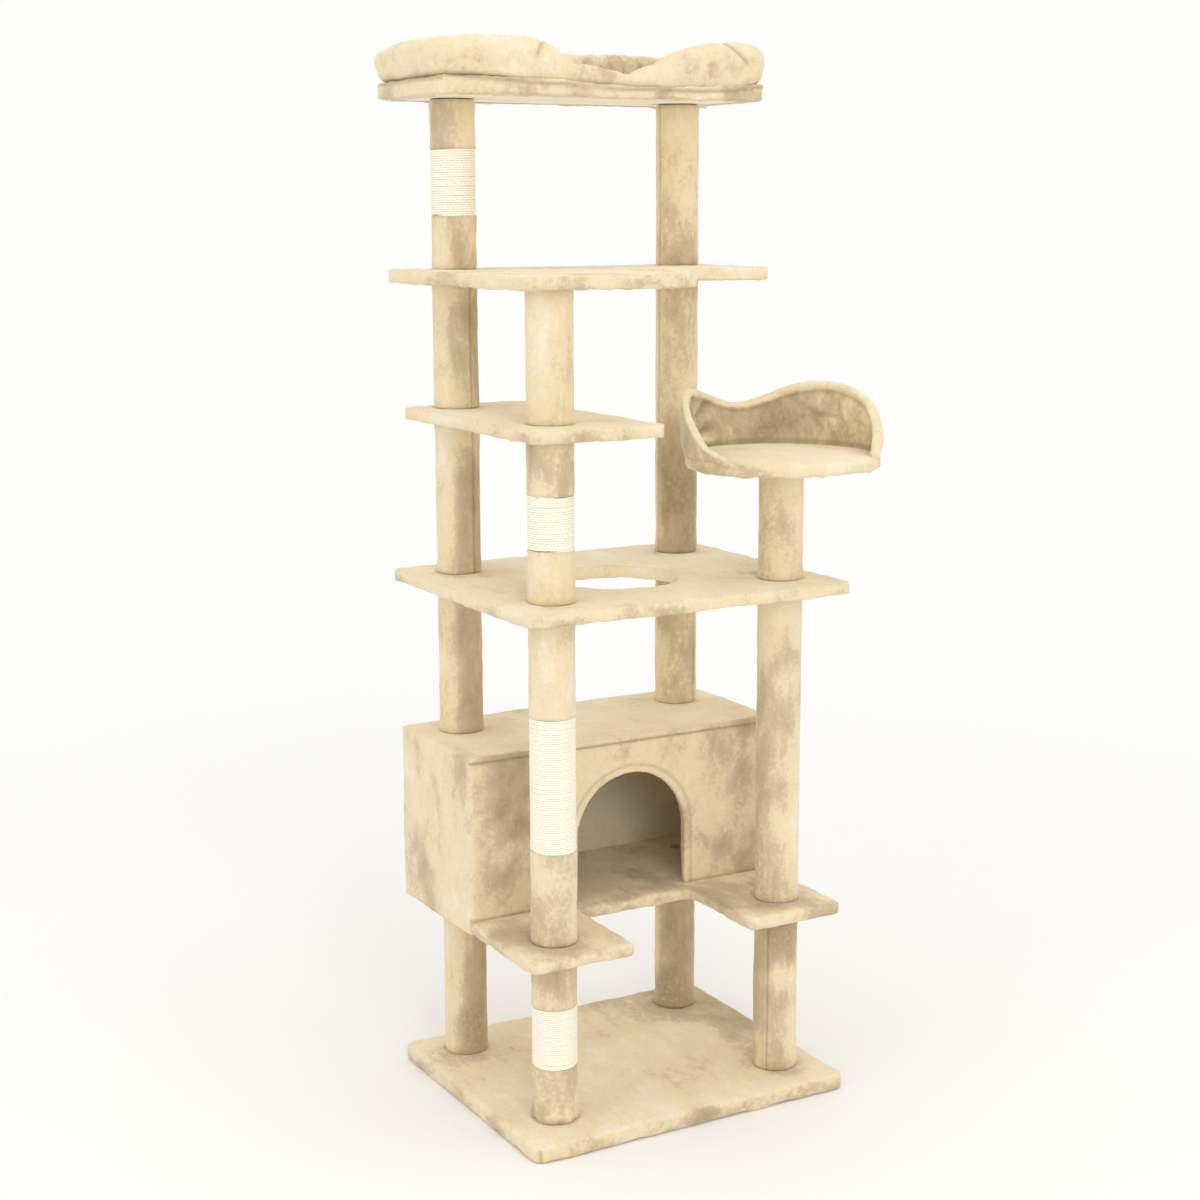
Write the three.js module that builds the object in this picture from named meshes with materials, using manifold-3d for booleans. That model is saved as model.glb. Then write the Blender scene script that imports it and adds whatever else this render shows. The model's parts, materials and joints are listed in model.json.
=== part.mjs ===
// A tall cat tree: four columns of plush-covered posts carry a condo, shelves, a round perch and a top bed.
// Millimetres, +Z up, the condo's arch faces -Y, and the origin is the centre of the base's underside.

import * as THREE from 'three';
import { mergeVertices } from 'three/addons/utils/BufferGeometryUtils.js';
import Module from 'manifold-3d';

const wasm = await Module();
wasm.setup();

// Driving dimensions

const gap = 0.3; // left between pieces that touch

const left = -339; // edges that the big platforms share
const right = 341;
const front = -281;
const back = 299;

const columns = {
	front_left: [ -242, -176 ],
	back_left: [ -242, 197 ],
	back_right: [ 247, 197 ],
	front_right: [ 247, -176 ]
};

const base = { bottom: 0, top: 32, left: -340, right: 340, front: -286, back: 286, corner: 22 };
const floor = { bottom: 347, top: 373, left: -332, right: 341, front: -263, back: 285, corner: 12 };
const step = { leftEnd: -119, rightStart: 135, back: -42 }; // the notch between the two front steps
const roof = { bottom: 665, top: 689, front: -16 };
const wall = 15; // condo panels with their plush
const arch = { x: 16, radius: 121, spring: 495 };
const platform = { bottom: 977, top: 1001, corner: 20 };
const hole = { x: -14, y: -8, radius: 120 };
const shelf = { bottom: 1292, top: 1316, left: -323, right: -63, front: -279, back: 272, corner: 20 };
const upper = { bottom: 1550, top: 1574, cutX: 2, cutY: 0, corner: 20 };
const perch = { bottom: 1212, top: 1236, radius: 181, padding: 17, proud: 3 }; // backrest proud of the plate
const bed = { bottom: 1884, top: 1916, left: -348, right: 336, front: 10, back: 318, corner: 26 };
const bolster = { top: 1988, thickness: 56 };
const dipped = { top: 1940, start: -160, left: -60, right: 70, end: 180 }; // the low way in at the front
const dipCurve = { shoulderDrop: 10, shoulderPull: 50, floorPull: 40 }; // shapes the two slopes of the dip

const post = { radius: 42.5, ropeRadius: 38.5, wall: 6.5, woundWall: 4.5, plug: 16, sides: 16 };
const rope = { radius: 42 };
const bore = 4.4; // hole in plugs and boards for the threaded parts
const screw = { radius: 4, reach: 13 };
const head = { radius: 10, height: 4, rim: 1.5, crown: 8, key: 3, keyFloor: 1.2 };
const pocket = { radius: 11.5, depth: 8, cover: 4 };

const softEdge = 0.32; // share of a board's thickness that its plush edge rounds off
const plateEdge = 8; // the same on the middle platform and the perch, which are rounder
const past = 2; // how far a cutting tool runs past the face that it cuts
const sides = { bore: 10, pocket: 16, bolt: 14, key: 6, doorway: 20, backrest: 36 };

// Posts of each column from the bottom up: where each starts and ends, and the stretch wound with sisal

const postRuns = {
	front_left: [
		{ from: base.top, to: floor.bottom, sisal: [ 136, 255 ] },
		{ from: floor.top, to: platform.bottom, sisal: [ 545, 797 ] },
		{ from: platform.top, to: shelf.bottom, sisal: [ 1094, 1196 ] },
		{ from: shelf.top, to: upper.bottom }
	],
	back_left: [
		{ from: base.top, to: floor.bottom },
		{ from: roof.top, to: platform.bottom },
		{ from: platform.top, to: shelf.bottom },
		{ from: shelf.top, to: upper.bottom },
		{ from: upper.top, to: bed.bottom, sisal: [ 1671, 1797 ] }
	],
	back_right: [
		{ from: base.top, to: floor.bottom },
		{ from: roof.top, to: platform.bottom },
		{ from: platform.top, to: upper.bottom },
		{ from: upper.top, to: bed.bottom }
	],
	front_right: [
		{ from: base.top, to: floor.bottom },
		{ from: floor.top, to: platform.bottom },
		{ from: platform.top, to: perch.bottom }
	]
};

// Top edge of the perch's backrest: angle around the perch in degrees, and height above the plate

const backrestTop = [
	[ - 50, 6 ], [ - 38, 36 ], [ - 26, 68 ], [ - 10, 95 ], [ 12, 119 ], [ 32, 125 ], [ 53, 111 ], [ 71, 89 ],
	[ 87, 83 ], [ 100, 91 ], [ 112, 107 ], [ 130, 117 ], [ 148, 112 ], [ 164, 76 ], [ 178, 34 ], [ 200, 6 ]
];

// Materials

const plush = new THREE.MeshStandardMaterial( { color: 0xe6d7b0, roughness: 0.95, metalness: 0 } );
const sisal = new THREE.MeshStandardMaterial( { color: 0xf5ecd2, roughness: 0.9, metalness: 0 } );
const steel = new THREE.MeshStandardMaterial( { color: 0x9a9a98, roughness: 0.4, metalness: 0.9 } );

const tree = new THREE.Group();

function place( name, geometry, material, x = 0, y = 0, z = 0 ) {

	const mesh = new THREE.Mesh( geometry, material.clone() );
	mesh.name = name;
	mesh.position.set( x, y, z );
	tree.add( mesh );
	return mesh;

}

// Solids that are joined or cut

function toSolid( geometry ) {

	const welded = geometry.clone();
	welded.deleteAttribute( 'normal' );
	welded.deleteAttribute( 'uv' );
	const merged = mergeVertices( welded, 1e-3 );
	const vertProperties = new Float32Array( merged.attributes.position.array );
	const triVerts = new Uint32Array( merged.index.array );
	return new wasm.Manifold( new wasm.Mesh( { numProp: 3, vertProperties, triVerts } ) );

}

function toGeometry( solid ) {

	const mesh = solid.getMesh();
	const geometry = new THREE.BufferGeometry();
	geometry.setAttribute( 'position', new THREE.BufferAttribute( mesh.vertProperties, 3 ) );
	geometry.setIndex( new THREE.BufferAttribute( mesh.triVerts, 1 ) );
	geometry.computeVertexNormals();
	return geometry;

}

function cut( geometry, tools ) {

	let solid = toSolid( geometry );
	for ( const tool of tools ) solid = solid.subtract( toSolid( tool ) );
	return toGeometry( solid );

}

function block( x0, x1, y0, y1, z0, z1 ) {

	const geometry = new THREE.BoxGeometry( x1 - x0, y1 - y0, z1 - z0 );
	return geometry.translate( ( x0 + x1 ) / 2, ( y0 + y1 ) / 2, ( z0 + z1 ) / 2 );

}

function upright( radius, z0, z1, sides, x = 0, y = 0 ) {

	const geometry = new THREE.CylinderGeometry( radius, radius, z1 - z0, sides );
	return geometry.rotateX( Math.PI / 2 ).translate( x, y, ( z0 + z1 ) / 2 );

}

// Boards: a rounded outline with soft edges, and round holes for the threaded parts

function roundedOutline( points, radius, shape = new THREE.Shape() ) {

	const corners = points.map( ( [ x, y ] ) => new THREE.Vector2( x, y ) );
	corners.forEach( ( corner, i ) => {

		const before = corners[ ( i + corners.length - 1 ) % corners.length ];
		const after = corners[ ( i + 1 ) % corners.length ];
		const start = corner.clone().add( before.clone().sub( corner ).setLength( radius ) );
		const end = corner.clone().add( after.clone().sub( corner ).setLength( radius ) );
		if ( i === 0 ) shape.moveTo( start.x, start.y );
		else shape.lineTo( start.x, start.y );
		shape.quadraticCurveTo( corner.x, corner.y, end.x, end.y );

	} );
	shape.closePath();
	return shape;

}

function rectangle( x0, x1, y0, y1 ) {

	return [ [ x0, y0 ], [ x1, y0 ], [ x1, y1 ], [ x0, y1 ] ];

}

function board( shape, bottom, top ) {

	const edge = softEdge * ( top - bottom );
	const geometry = new THREE.ExtrudeGeometry( shape, {
		depth: top - bottom - 2 * edge,
		curveSegments: 4,
		bevelThickness: edge,
		bevelSize: edge,
		bevelOffset: - edge,
		bevelSegments: 2
	} );
	return geometry.translate( 0, 0, bottom + edge );

}

// A board with a round outline or a round way through, in as many straight pieces as asked for

function plate( shape, bottom, top, curveSegments, bevelSegments ) {

	const geometry = new THREE.ExtrudeGeometry( shape, {
		depth: top - bottom - 2 * plateEdge,
		curveSegments,
		bevelThickness: plateEdge,
		bevelSize: plateEdge,
		bevelOffset: - plateEdge,
		bevelSegments
	} );
	return geometry.translate( 0, 0, bottom + plateEdge );

}

function studHole( column, bottom, top ) {

	const [ x, y ] = columns[ column ];
	return upright( bore, bottom - past, top + past, sides.bore, x, y );

}

// A bolt's way in from below, with a pocket under the plush of the top face for its head

function coveredBoltHole( column, bottom, top ) {

	const [ x, y ] = columns[ column ];
	const pocketTop = top - pocket.cover;
	return [
		upright( bore, bottom - past, pocketTop - pocket.depth + past, sides.bore, x, y ),
		upright( pocket.radius, pocketTop - pocket.depth, pocketTop, sides.pocket, x, y )
	];

}

// Base, with recesses below for the bolt heads

const baseShape = roundedOutline( rectangle( base.left, base.right, base.front, base.back ), base.corner );
const baseHoles = Object.keys( columns ).flatMap( ( column ) => {

	const [ x, y ] = columns[ column ];
	return [
		studHole( column, base.bottom, base.top ),
		upright( pocket.radius, base.bottom - past, base.bottom + pocket.depth, sides.pocket, x, y )
	];

} );
place( 'base_board', cut( board( baseShape, base.bottom, base.top ), baseHoles ), plush );

// Condo: a floor with two front steps, four walls and a roof

const floorShape = roundedOutline( [
	[ floor.left, floor.front ], [ step.leftEnd, floor.front ], [ step.leftEnd, step.back ],
	[ step.rightStart, step.back ], [ step.rightStart, floor.front ], [ floor.right, floor.front ],
	[ floor.right, floor.back ], [ floor.left, floor.back ]
], floor.corner );
const floorHoles = Object.keys( columns ).map( ( column ) => studHole( column, floor.bottom, floor.top ) );
place( 'condo_floor', cut( board( floorShape, floor.bottom, floor.top ), floorHoles ), plush );

const roofShape = roundedOutline(
	rectangle( floor.left, floor.right, roof.front, floor.back ), floor.corner );
const roofHoles = [ 'back_left', 'back_right' ].map(
	( column ) => studHole( column, roof.bottom, roof.top ) );
place( 'condo_roof', cut( board( roofShape, roof.bottom, roof.top ), roofHoles ), plush );

const wallBottom = floor.top + gap;
const wallTop = roof.bottom - gap;
const innerFront = roof.front + wall;
const innerBack = floor.back - wall;

place( 'condo_left_wall', block(
	floor.left, floor.left + wall, innerFront + gap, innerBack - gap, wallBottom, wallTop ), plush );
place( 'condo_right_wall', block(
	floor.right - wall, floor.right, innerFront + gap, innerBack - gap, wallBottom, wallTop ), plush );
place( 'condo_back_wall', block(
	floor.left, floor.right, innerBack, floor.back, wallBottom, wallTop ), plush );

const doorway = new THREE.Path();
doorway.moveTo( arch.x - arch.radius, wallBottom - past );
doorway.lineTo( arch.x + arch.radius, wallBottom - past );
doorway.absarc( arch.x, arch.spring, arch.radius, 0, Math.PI, false );
doorway.closePath();
const doorwayTool = new THREE.ExtrudeGeometry( new THREE.Shape( doorway.getPoints( sides.doorway ) ), {
	depth: wall + 2 * past, bevelEnabled: false } );
doorwayTool.rotateX( Math.PI / 2 ).translate( 0, innerFront + past, 0 );
const frontPanel = block( floor.left, floor.right, roof.front, innerFront, wallBottom, wallTop );
place( 'condo_front_wall', cut( frontPanel, [ doorwayTool ] ), plush );

// Middle platform, with the round way through

const platformShape = roundedOutline( rectangle( left, right, front, back ), platform.corner );
platformShape.holes.push( new THREE.Path().absarc( hole.x, hole.y, hole.radius, 0, 2 * Math.PI, true ) );
const platformHoles = Object.keys( columns ).map(
	( column ) => studHole( column, platform.bottom, platform.top ) );
const platformBoard = plate( platformShape, platform.bottom, platform.top, 16, 1 );
place( 'middle_platform', cut( platformBoard, platformHoles ), plush );

// Left shelf, and the upper shelf with its front right quarter left out above the perch

const shelfShape = roundedOutline(
	rectangle( shelf.left, shelf.right, shelf.front, shelf.back ), shelf.corner );
const shelfHoles = [ 'front_left', 'back_left' ].map(
	( column ) => studHole( column, shelf.bottom, shelf.top ) );
place( 'left_shelf', cut( board( shelfShape, shelf.bottom, shelf.top ), shelfHoles ), plush );

const upperShape = roundedOutline( [
	[ left, front ], [ upper.cutX, front ], [ upper.cutX, upper.cutY ],
	[ right, upper.cutY ], [ right, back ], [ left, back ]
], upper.corner );
const upperHoles = [
	studHole( 'back_left', upper.bottom, upper.top ),
	studHole( 'back_right', upper.bottom, upper.top ),
	...coveredBoltHole( 'front_left', upper.bottom, upper.top )
];
place( 'upper_shelf', cut( board( upperShape, upper.bottom, upper.top ), upperHoles ), plush );

// Perch: a round plate on the front right post, and a padded backrest bent around it

const [ perchX, perchY ] = columns.front_right;
const plateShape = new THREE.Shape().absarc( perchX, perchY, perch.radius, 0, 2 * Math.PI, false );
const plateHoles = coveredBoltHole( 'front_right', perch.bottom, perch.top );
place( 'perch_plate', cut( plate( plateShape, perch.bottom, perch.top, 20, 2 ), plateHoles ), plush );

function backrest() {

	const top = new THREE.SplineCurve( backrestTop.map( ( [ a, h ] ) => new THREE.Vector2( a, h ) ) );
	const geometry = new THREE.BoxGeometry( 1, 1, 1, sides.backrest, 1, 1 );
	const position = geometry.attributes.position;
	for ( let i = 0; i < position.count; i ++ ) {

		const edge = top.getPoint( THREE.MathUtils.clamp( position.getX( i ) + 0.5, 0, 1 ) );
		const angle = THREE.MathUtils.degToRad( edge.x );
		const height = edge.y * ( position.getZ( i ) + 0.5 );
		const radius = perch.radius + perch.proud - perch.padding * ( position.getY( i ) + 0.5 );
		position.setXYZ( i, radius * Math.cos( angle ), radius * Math.sin( angle ), height );

	}

	return geometry;

}

place( 'perch_backrest', backrest(), plush, perchX, perchY, perch.top + gap );

// Bed: a board on the two back columns, and a padded bolster around it that dips at the front

const bedShape = roundedOutline( rectangle( bed.left, bed.right, bed.front, bed.back ), bed.corner );
const bedHoles = [ 'back_left', 'back_right' ].flatMap(
	( column ) => coveredBoltHole( column, bed.bottom, bed.top ) );
place( 'bed_board', cut( board( bedShape, bed.bottom, bed.top ), bedHoles ), plush );

const ringShape = roundedOutline( rectangle( bed.left, bed.right, bed.front, bed.back ), 2 * bed.corner );
ringShape.holes.push( roundedOutline( rectangle(
	bed.left + bolster.thickness, bed.right - bolster.thickness,
	bed.front + bolster.thickness, bed.back - bolster.thickness ), bed.corner, new THREE.Path() ) );
const ring = board( ringShape, bed.top + gap, bolster.top );

const dipShape = new THREE.Shape();
dipShape.moveTo( dipped.start, bolster.top + past );
dipShape.bezierCurveTo(
	dipped.start + dipCurve.shoulderPull, bolster.top - dipCurve.shoulderDrop,
	dipped.left - dipCurve.floorPull, dipped.top, dipped.left, dipped.top );
dipShape.lineTo( dipped.right, dipped.top );
dipShape.bezierCurveTo(
	dipped.right + dipCurve.floorPull, dipped.top,
	dipped.end - dipCurve.shoulderPull, bolster.top - dipCurve.shoulderDrop,
	dipped.end, bolster.top + past );
dipShape.closePath();
const dip = new THREE.ExtrudeGeometry( dipShape, {
	depth: bolster.thickness + 2 * past, curveSegments: 6, bevelEnabled: false } );
dip.rotateX( Math.PI / 2 ).translate( 0, bed.front + bolster.thickness + past, 0 );
place( 'bed_bolster', cut( ring, [ dip ] ), plush );

// Posts: a hollow cardboard tube with a drilled plug in each end, its plush thinner where sisal is wound

function postGeometry( length, sisalRun ) {

	const outside = [ [ post.radius, 0 ] ];
	if ( sisalRun ) {

		outside.push( [ post.radius, sisalRun[ 0 ] ], [ post.ropeRadius, sisalRun[ 0 ] ] );
		outside.push( [ post.ropeRadius, sisalRun[ 1 ] ], [ post.radius, sisalRun[ 1 ] ] );

	}

	outside.push( [ post.radius, length ] );
	const inside = sisalRun ? post.ropeRadius - post.woundWall : post.radius - post.wall;
	const profile = [
		[ bore, 0 ], ...outside, [ bore, length ], [ bore, length - post.plug ], [ inside, length - post.plug ],
		[ inside, post.plug ], [ bore, post.plug ], [ bore, 0 ]
	];
	const points = profile.map( ( [ r, z ] ) => new THREE.Vector2( r, z ) );
	return new THREE.LatheGeometry( points, post.sides ).rotateX( Math.PI / 2 );

}

function sisalGeometry( length ) {

	const inner = post.ropeRadius + gap;
	const profile = [
		[ inner, 0 ], [ rope.radius, 0 ], [ rope.radius, length ], [ inner, length ], [ inner, 0 ]
	];
	const points = profile.map( ( [ r, z ] ) => new THREE.Vector2( r, z ) );
	return new THREE.LatheGeometry( points, post.sides ).rotateX( Math.PI / 2 );

}

for ( const [ column, runs ] of Object.entries( postRuns ) ) {

	const [ x, y ] = columns[ column ];
	runs.forEach( ( run, i ) => {

		const bottom = run.from + gap;
		const length = run.to - run.from - 2 * gap;
		const wound = run.sisal && run.sisal.map( ( z ) => z - bottom );
		place( `${ column }_post_${ i + 1 }`, postGeometry( length, wound ), plush, x, y, bottom );
		if ( run.sisal ) {

			const [ low, high ] = run.sisal;
			place( `${ column }_sisal_${ i + 1 }`, sisalGeometry( high - low - 2 * gap ), sisal, x, y, low + gap );

		}

	} );

}

// Fasteners: headless studs join two posts through a board, and socket-head bolts end each column

function stud( name, column, bottom, top ) {

	const [ x, y ] = columns[ column ];
	const geometry = upright( screw.radius, bottom - screw.reach, top + screw.reach, sides.bore );
	place( name, geometry, steel, x, y );

}

// A bolt whose head sits at z = 0 and whose shank points down; up turns it over

function boltGeometry( shank ) {

	const profile = [
		[ 0, - shank ], [ screw.radius, - shank ], [ screw.radius, 0 ], [ head.radius, 0 ],
		[ head.radius, head.height - head.rim ], [ head.crown, head.height ],
		[ 0, head.height ]
	];
	const body = new THREE.LatheGeometry( profile.map( ( [ r, z ] ) => new THREE.Vector2( r, z ) ), sides.bolt );
	const socket = upright( head.key, head.keyFloor, head.height + past, sides.key );
	return cut( body.rotateX( Math.PI / 2 ), [ socket ] );

}

function bolt( name, column, seat, shank, up = false ) {

	const [ x, y ] = columns[ column ];
	const mesh = place( name, boltGeometry( shank ), steel, x, y, seat );
	if ( up ) mesh.rotation.x = Math.PI;

}

for ( const column of Object.keys( columns ) ) {

	const seat = base.bottom + pocket.depth - gap;
	bolt( `base_bolt_${ column }`, column, seat, base.top - seat + screw.reach, true );
	stud( `platform_stud_${ column }`, column, platform.bottom, platform.top );

}

for ( const column of [ 'front_left', 'front_right' ] ) {

	stud( `step_stud_${ column }`, column, floor.bottom, floor.top );

}

for ( const column of [ 'back_left', 'back_right' ] ) {

	const floorShank = floor.top - floor.bottom + gap + screw.reach;
	bolt( `condo_floor_bolt_${ column }`, column, floor.top + gap, floorShank );
	const roofShank = roof.top - roof.bottom + gap + screw.reach;
	bolt( `condo_roof_bolt_${ column }`, column, roof.bottom - gap, roofShank, true );
	stud( `upper_shelf_stud_${ column }`, column, upper.bottom, upper.top );
	const seat = bed.top - pocket.cover - pocket.depth + gap;
	bolt( `bed_bolt_${ column }`, column, seat, seat - bed.bottom + screw.reach );

}

for ( const column of [ 'front_left', 'back_left' ] ) {

	stud( `left_shelf_stud_${ column }`, column, shelf.bottom, shelf.top );

}

const upperSeat = upper.top - pocket.cover - pocket.depth + gap;
bolt( 'upper_shelf_bolt_front_left', 'front_left', upperSeat, upperSeat - upper.bottom + screw.reach );
const perchSeat = perch.top - pocket.cover - pocket.depth + gap;
bolt( 'perch_bolt', 'front_right', perchSeat, perchSeat - perch.bottom + screw.reach );

export default tree;
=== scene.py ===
import bpy
import bmesh
import json
import math
import numpy as np
from types import SimpleNamespace
from mathutils import Matrix, Vector
from mathutils.geometry import tessellate_polygon


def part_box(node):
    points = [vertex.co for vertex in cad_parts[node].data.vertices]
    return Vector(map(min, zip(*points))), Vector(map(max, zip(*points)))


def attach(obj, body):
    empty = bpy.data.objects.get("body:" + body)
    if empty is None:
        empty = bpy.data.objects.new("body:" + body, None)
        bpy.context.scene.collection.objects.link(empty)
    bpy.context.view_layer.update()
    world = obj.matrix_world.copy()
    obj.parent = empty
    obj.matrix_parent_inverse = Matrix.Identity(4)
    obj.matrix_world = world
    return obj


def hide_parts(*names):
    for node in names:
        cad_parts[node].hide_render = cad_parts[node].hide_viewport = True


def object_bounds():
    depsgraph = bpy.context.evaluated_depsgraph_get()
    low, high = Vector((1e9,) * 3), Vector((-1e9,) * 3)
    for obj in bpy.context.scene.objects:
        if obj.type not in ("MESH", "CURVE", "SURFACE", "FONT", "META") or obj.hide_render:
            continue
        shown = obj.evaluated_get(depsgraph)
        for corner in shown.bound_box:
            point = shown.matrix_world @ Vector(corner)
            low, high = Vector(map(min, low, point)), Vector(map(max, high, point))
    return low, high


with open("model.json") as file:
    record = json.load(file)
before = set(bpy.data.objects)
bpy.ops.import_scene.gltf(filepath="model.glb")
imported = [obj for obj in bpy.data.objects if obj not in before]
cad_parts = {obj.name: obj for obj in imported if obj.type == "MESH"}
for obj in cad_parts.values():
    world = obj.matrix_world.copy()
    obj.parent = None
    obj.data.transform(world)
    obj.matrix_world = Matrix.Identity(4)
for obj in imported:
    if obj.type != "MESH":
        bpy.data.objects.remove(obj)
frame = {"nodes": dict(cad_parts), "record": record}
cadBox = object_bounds()
print("frame loaded:", len(frame["nodes"]), "nodes")

scene = bpy.context.scene
scene.view_settings.view_transform = "Standard"
scene.view_settings.look = "None"

openings = {o["name"]: o["box_m"] for o in frame["record"]["physics"]["openings"]}


cameraSettings = {
    "lens": 62.44,
    "sensor": 36,
    "place": (-1.9553, -3.3632, 1.6825),
    "turn": 29.62,      # degrees to the right of +Y
    "tilt": 10.61,      # degrees below the horizon
    "roll": -0.19,
    "clipEnd": 60,
}

lightSettings = {
    "world": {"colour": (1, 0.995, 0.98, 1), "strength": 1.0},
    "key": {"azimuth": -14, "elevation": 20, "distance": 6.5, "size": 2.0, "energy": 75},
    "left": {"azimuth": -78, "elevation": 20, "distance": 4.0, "size": 2.4, "energy": 13},
    "top": {"azimuth": 10, "elevation": 78, "distance": 9.0, "size": 4.9, "energy": 102},
}

floorSettings = {
    "half": 6.0,
    "below": 0.0005,      # gap under the base
    "solid": 1.2,         # the floor starts to fade this far from the middle, and is gone at the next
    "gone": 4.8,
    "colour": (0.86, 0.855, 0.845, 1),
    "roughness": 0.9,
    "specular": 0.1,
}


def addCamera(s=cameraSettings):
    turn, tilt = math.radians(s["turn"]), math.radians(s["tilt"])
    ahead = Vector((math.sin(turn) * math.cos(tilt), math.cos(turn) * math.cos(tilt), -math.sin(tilt)))
    cam = bpy.data.objects.new("camera", bpy.data.cameras.new("camera"))
    cam.data.lens = s["lens"]
    cam.data.sensor_width = s["sensor"]
    cam.data.clip_end = s["clipEnd"]
    facing = ahead.to_track_quat("-Z", "Y").to_matrix().to_4x4()
    level = Matrix.Rotation(math.radians(s["roll"]), 4, "Z")
    cam.matrix_world = Matrix.Translation(s["place"]) @ facing @ level
    scene.collection.objects.link(cam)
    scene.camera = cam


def addSoftbox(name, target):
    s = lightSettings[name]
    a, e = math.radians(s["azimuth"]), math.radians(s["elevation"])
    back = Vector((math.sin(a) * math.cos(e), -math.cos(a) * math.cos(e), math.sin(e)))
    lamp = bpy.data.objects.new(name, bpy.data.lights.new(name, "AREA"))
    lamp.data.shape = "SQUARE"
    lamp.data.size = s["size"]
    lamp.data.energy = s["energy"]
    lamp.location = target + back * s["distance"]
    lamp.rotation_mode = "QUATERNION"
    lamp.rotation_quaternion = (-back).to_track_quat("-Z", "Y")
    scene.collection.objects.link(lamp)


def addWorld():
    world = bpy.data.worlds.new("studio")
    scene.world = world
    world.use_nodes = True
    background = world.node_tree.nodes["Background"]
    background.inputs["Color"].default_value = lightSettings["world"]["colour"]
    background.inputs["Strength"].default_value = lightSettings["world"]["strength"]


def addFloor(s=floorSettings):
    half = s["half"]
    corners = [(x * half, y * half, 0) for x, y in ((-1, -1), (1, -1), (1, 1), (-1, 1))]
    mesh = bpy.data.meshes.new("floor")
    mesh.from_pydata(corners, [], [(0, 1, 2, 3)])
    floor = bpy.data.objects.new("floor", mesh)
    floor.location.z = cadBox[0].z - s["below"]
    scene.collection.objects.link(floor)
    mesh.materials.append(paperMaterial())


def paperMaterial(s=floorSettings):      # fades into the white studio, so that no horizon shows
    material = bpy.data.materials.new("palePaper")
    kit = shaderKit(material)
    kit.dress({"Base Color": s["colour"], "Roughness": s["roughness"], "Specular IOR Level": s["specular"]})
    far = kit.add("ShaderNodeVectorMath", operation="LENGTH")
    kit.feed(far.inputs[0], kit.place())
    fade = kit.add("ShaderNodeMixShader")
    kit.feed(fade.inputs[0], kit.ramp(far.outputs["Value"], s["solid"], s["gone"]))
    kit.feed(fade.inputs[1], kit.shader.outputs[0])
    kit.feed(fade.inputs[2], kit.add("ShaderNodeBsdfTransparent").outputs[0])
    kit.feed(kit.output.inputs["Surface"], fade.outputs[0])
    return material


def hashed(ix, iy, iz, seed):      # scrambled whole numbers, from -1 to 1
    h = (ix * 374761393 + iy * 668265263 + iz * 2147483647 + seed * 974634777) & 0xFFFFFFFF
    h = ((h ^ (h >> 13)) * 1274126177) & 0xFFFFFFFF
    return ((h ^ (h >> 16)) & 0xFFFF) / 32767.5 - 1


def wave(points, size, seed=0):      # smooth noise from -1 to 1, with lumps about size metres across
    p = np.asarray(points, float) / size
    cell = np.floor(p).astype(np.int64)
    f = p - cell
    f = f * f * (3 - 2 * f)
    total = 0
    for dx in (0, 1):
        for dy in (0, 1):
            for dz in (0, 1):
                weight = (f[:, 0] if dx else 1 - f[:, 0]) * (f[:, 1] if dy else 1 - f[:, 1])
                weight = weight * (f[:, 2] if dz else 1 - f[:, 2])
                total = total + weight * hashed(cell[:, 0] + dx, cell[:, 1] + dy, cell[:, 2] + dz, seed)
    return total


def ease(x, low, high):      # 0 below low, 1 above high, smooth between
    t = np.clip((x - low) / (high - low), 0, 1)
    return t * t * (3 - 2 * t)


def newObject(name, verts, faces):
    mesh = bpy.data.meshes.new(name)
    mesh.from_pydata([tuple(v) for v in verts], [], faces)
    mesh.validate()
    mesh.update()
    obj = bpy.data.objects.new(name, mesh)
    scene.collection.objects.link(obj)
    return obj


def applyModifiers(obj):
    dg = bpy.context.evaluated_depsgraph_get()
    made = bpy.data.meshes.new_from_object(obj.evaluated_get(dg))
    old = obj.data
    obj.modifiers.clear()
    obj.data = made
    made.name = obj.name
    bpy.data.meshes.remove(old)


def coords(obj):
    co = np.empty(len(obj.data.vertices) * 3)
    obj.data.vertices.foreach_get("co", co)
    return co.reshape(-1, 3)


def normals(obj):
    n = np.empty(len(obj.data.vertices) * 3)
    obj.data.vertex_normals.foreach_get("vector", n)
    return n.reshape(-1, 3)


def setCoords(obj, co):
    obj.data.vertices.foreach_set("co", np.asarray(co, np.float32).ravel())
    obj.data.update()


def paint(obj, name, values):
    layer = obj.data.attributes.new(name, "FLOAT", "POINT")
    layer.data.foreach_set("value", np.asarray(values, np.float32))


def along(x, table):      # value at x, from a list of (x, value)
    xs, values = np.array(table).T
    return np.interp(x, xs, values)


def bell(x, width):      # 1 at 0, falling away smoothly over about width
    return np.exp(-(x / width) ** 2)


def unit(v):
    return v / np.linalg.norm(v)


def finishPiece(obj, material, nodes=()):
    obj.data.materials.clear()
    obj.data.materials.append(material)
    obj.data.polygons.foreach_set("use_smooth", [True] * len(obj.data.polygons))
    obj.data.update()
    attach(obj, "root")
    if nodes:
        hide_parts(*nodes)
    return obj


def remesh(obj, voxel, smooth):
    grid = obj.modifiers.new("remesh", "REMESH")
    grid.mode = "VOXEL"
    grid.voxel_size = voxel
    soft = obj.modifiers.new("smooth", "SMOOTH")
    soft.factor = 0.5
    soft.iterations = smooth
    applyModifiers(obj)


def roundEdges(obj, width, segments):
    bevel = obj.modifiers.new("edge", "BEVEL")
    bevel.width = width
    bevel.segments = segments
    bevel.limit_method = "ANGLE"
    bevel.angle_limit = math.radians(50)
    applyModifiers(obj)


def subdivide(obj):
    finer = obj.modifiers.new("finer", "SUBSURF")
    finer.levels = 1
    applyModifiers(obj)


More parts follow.
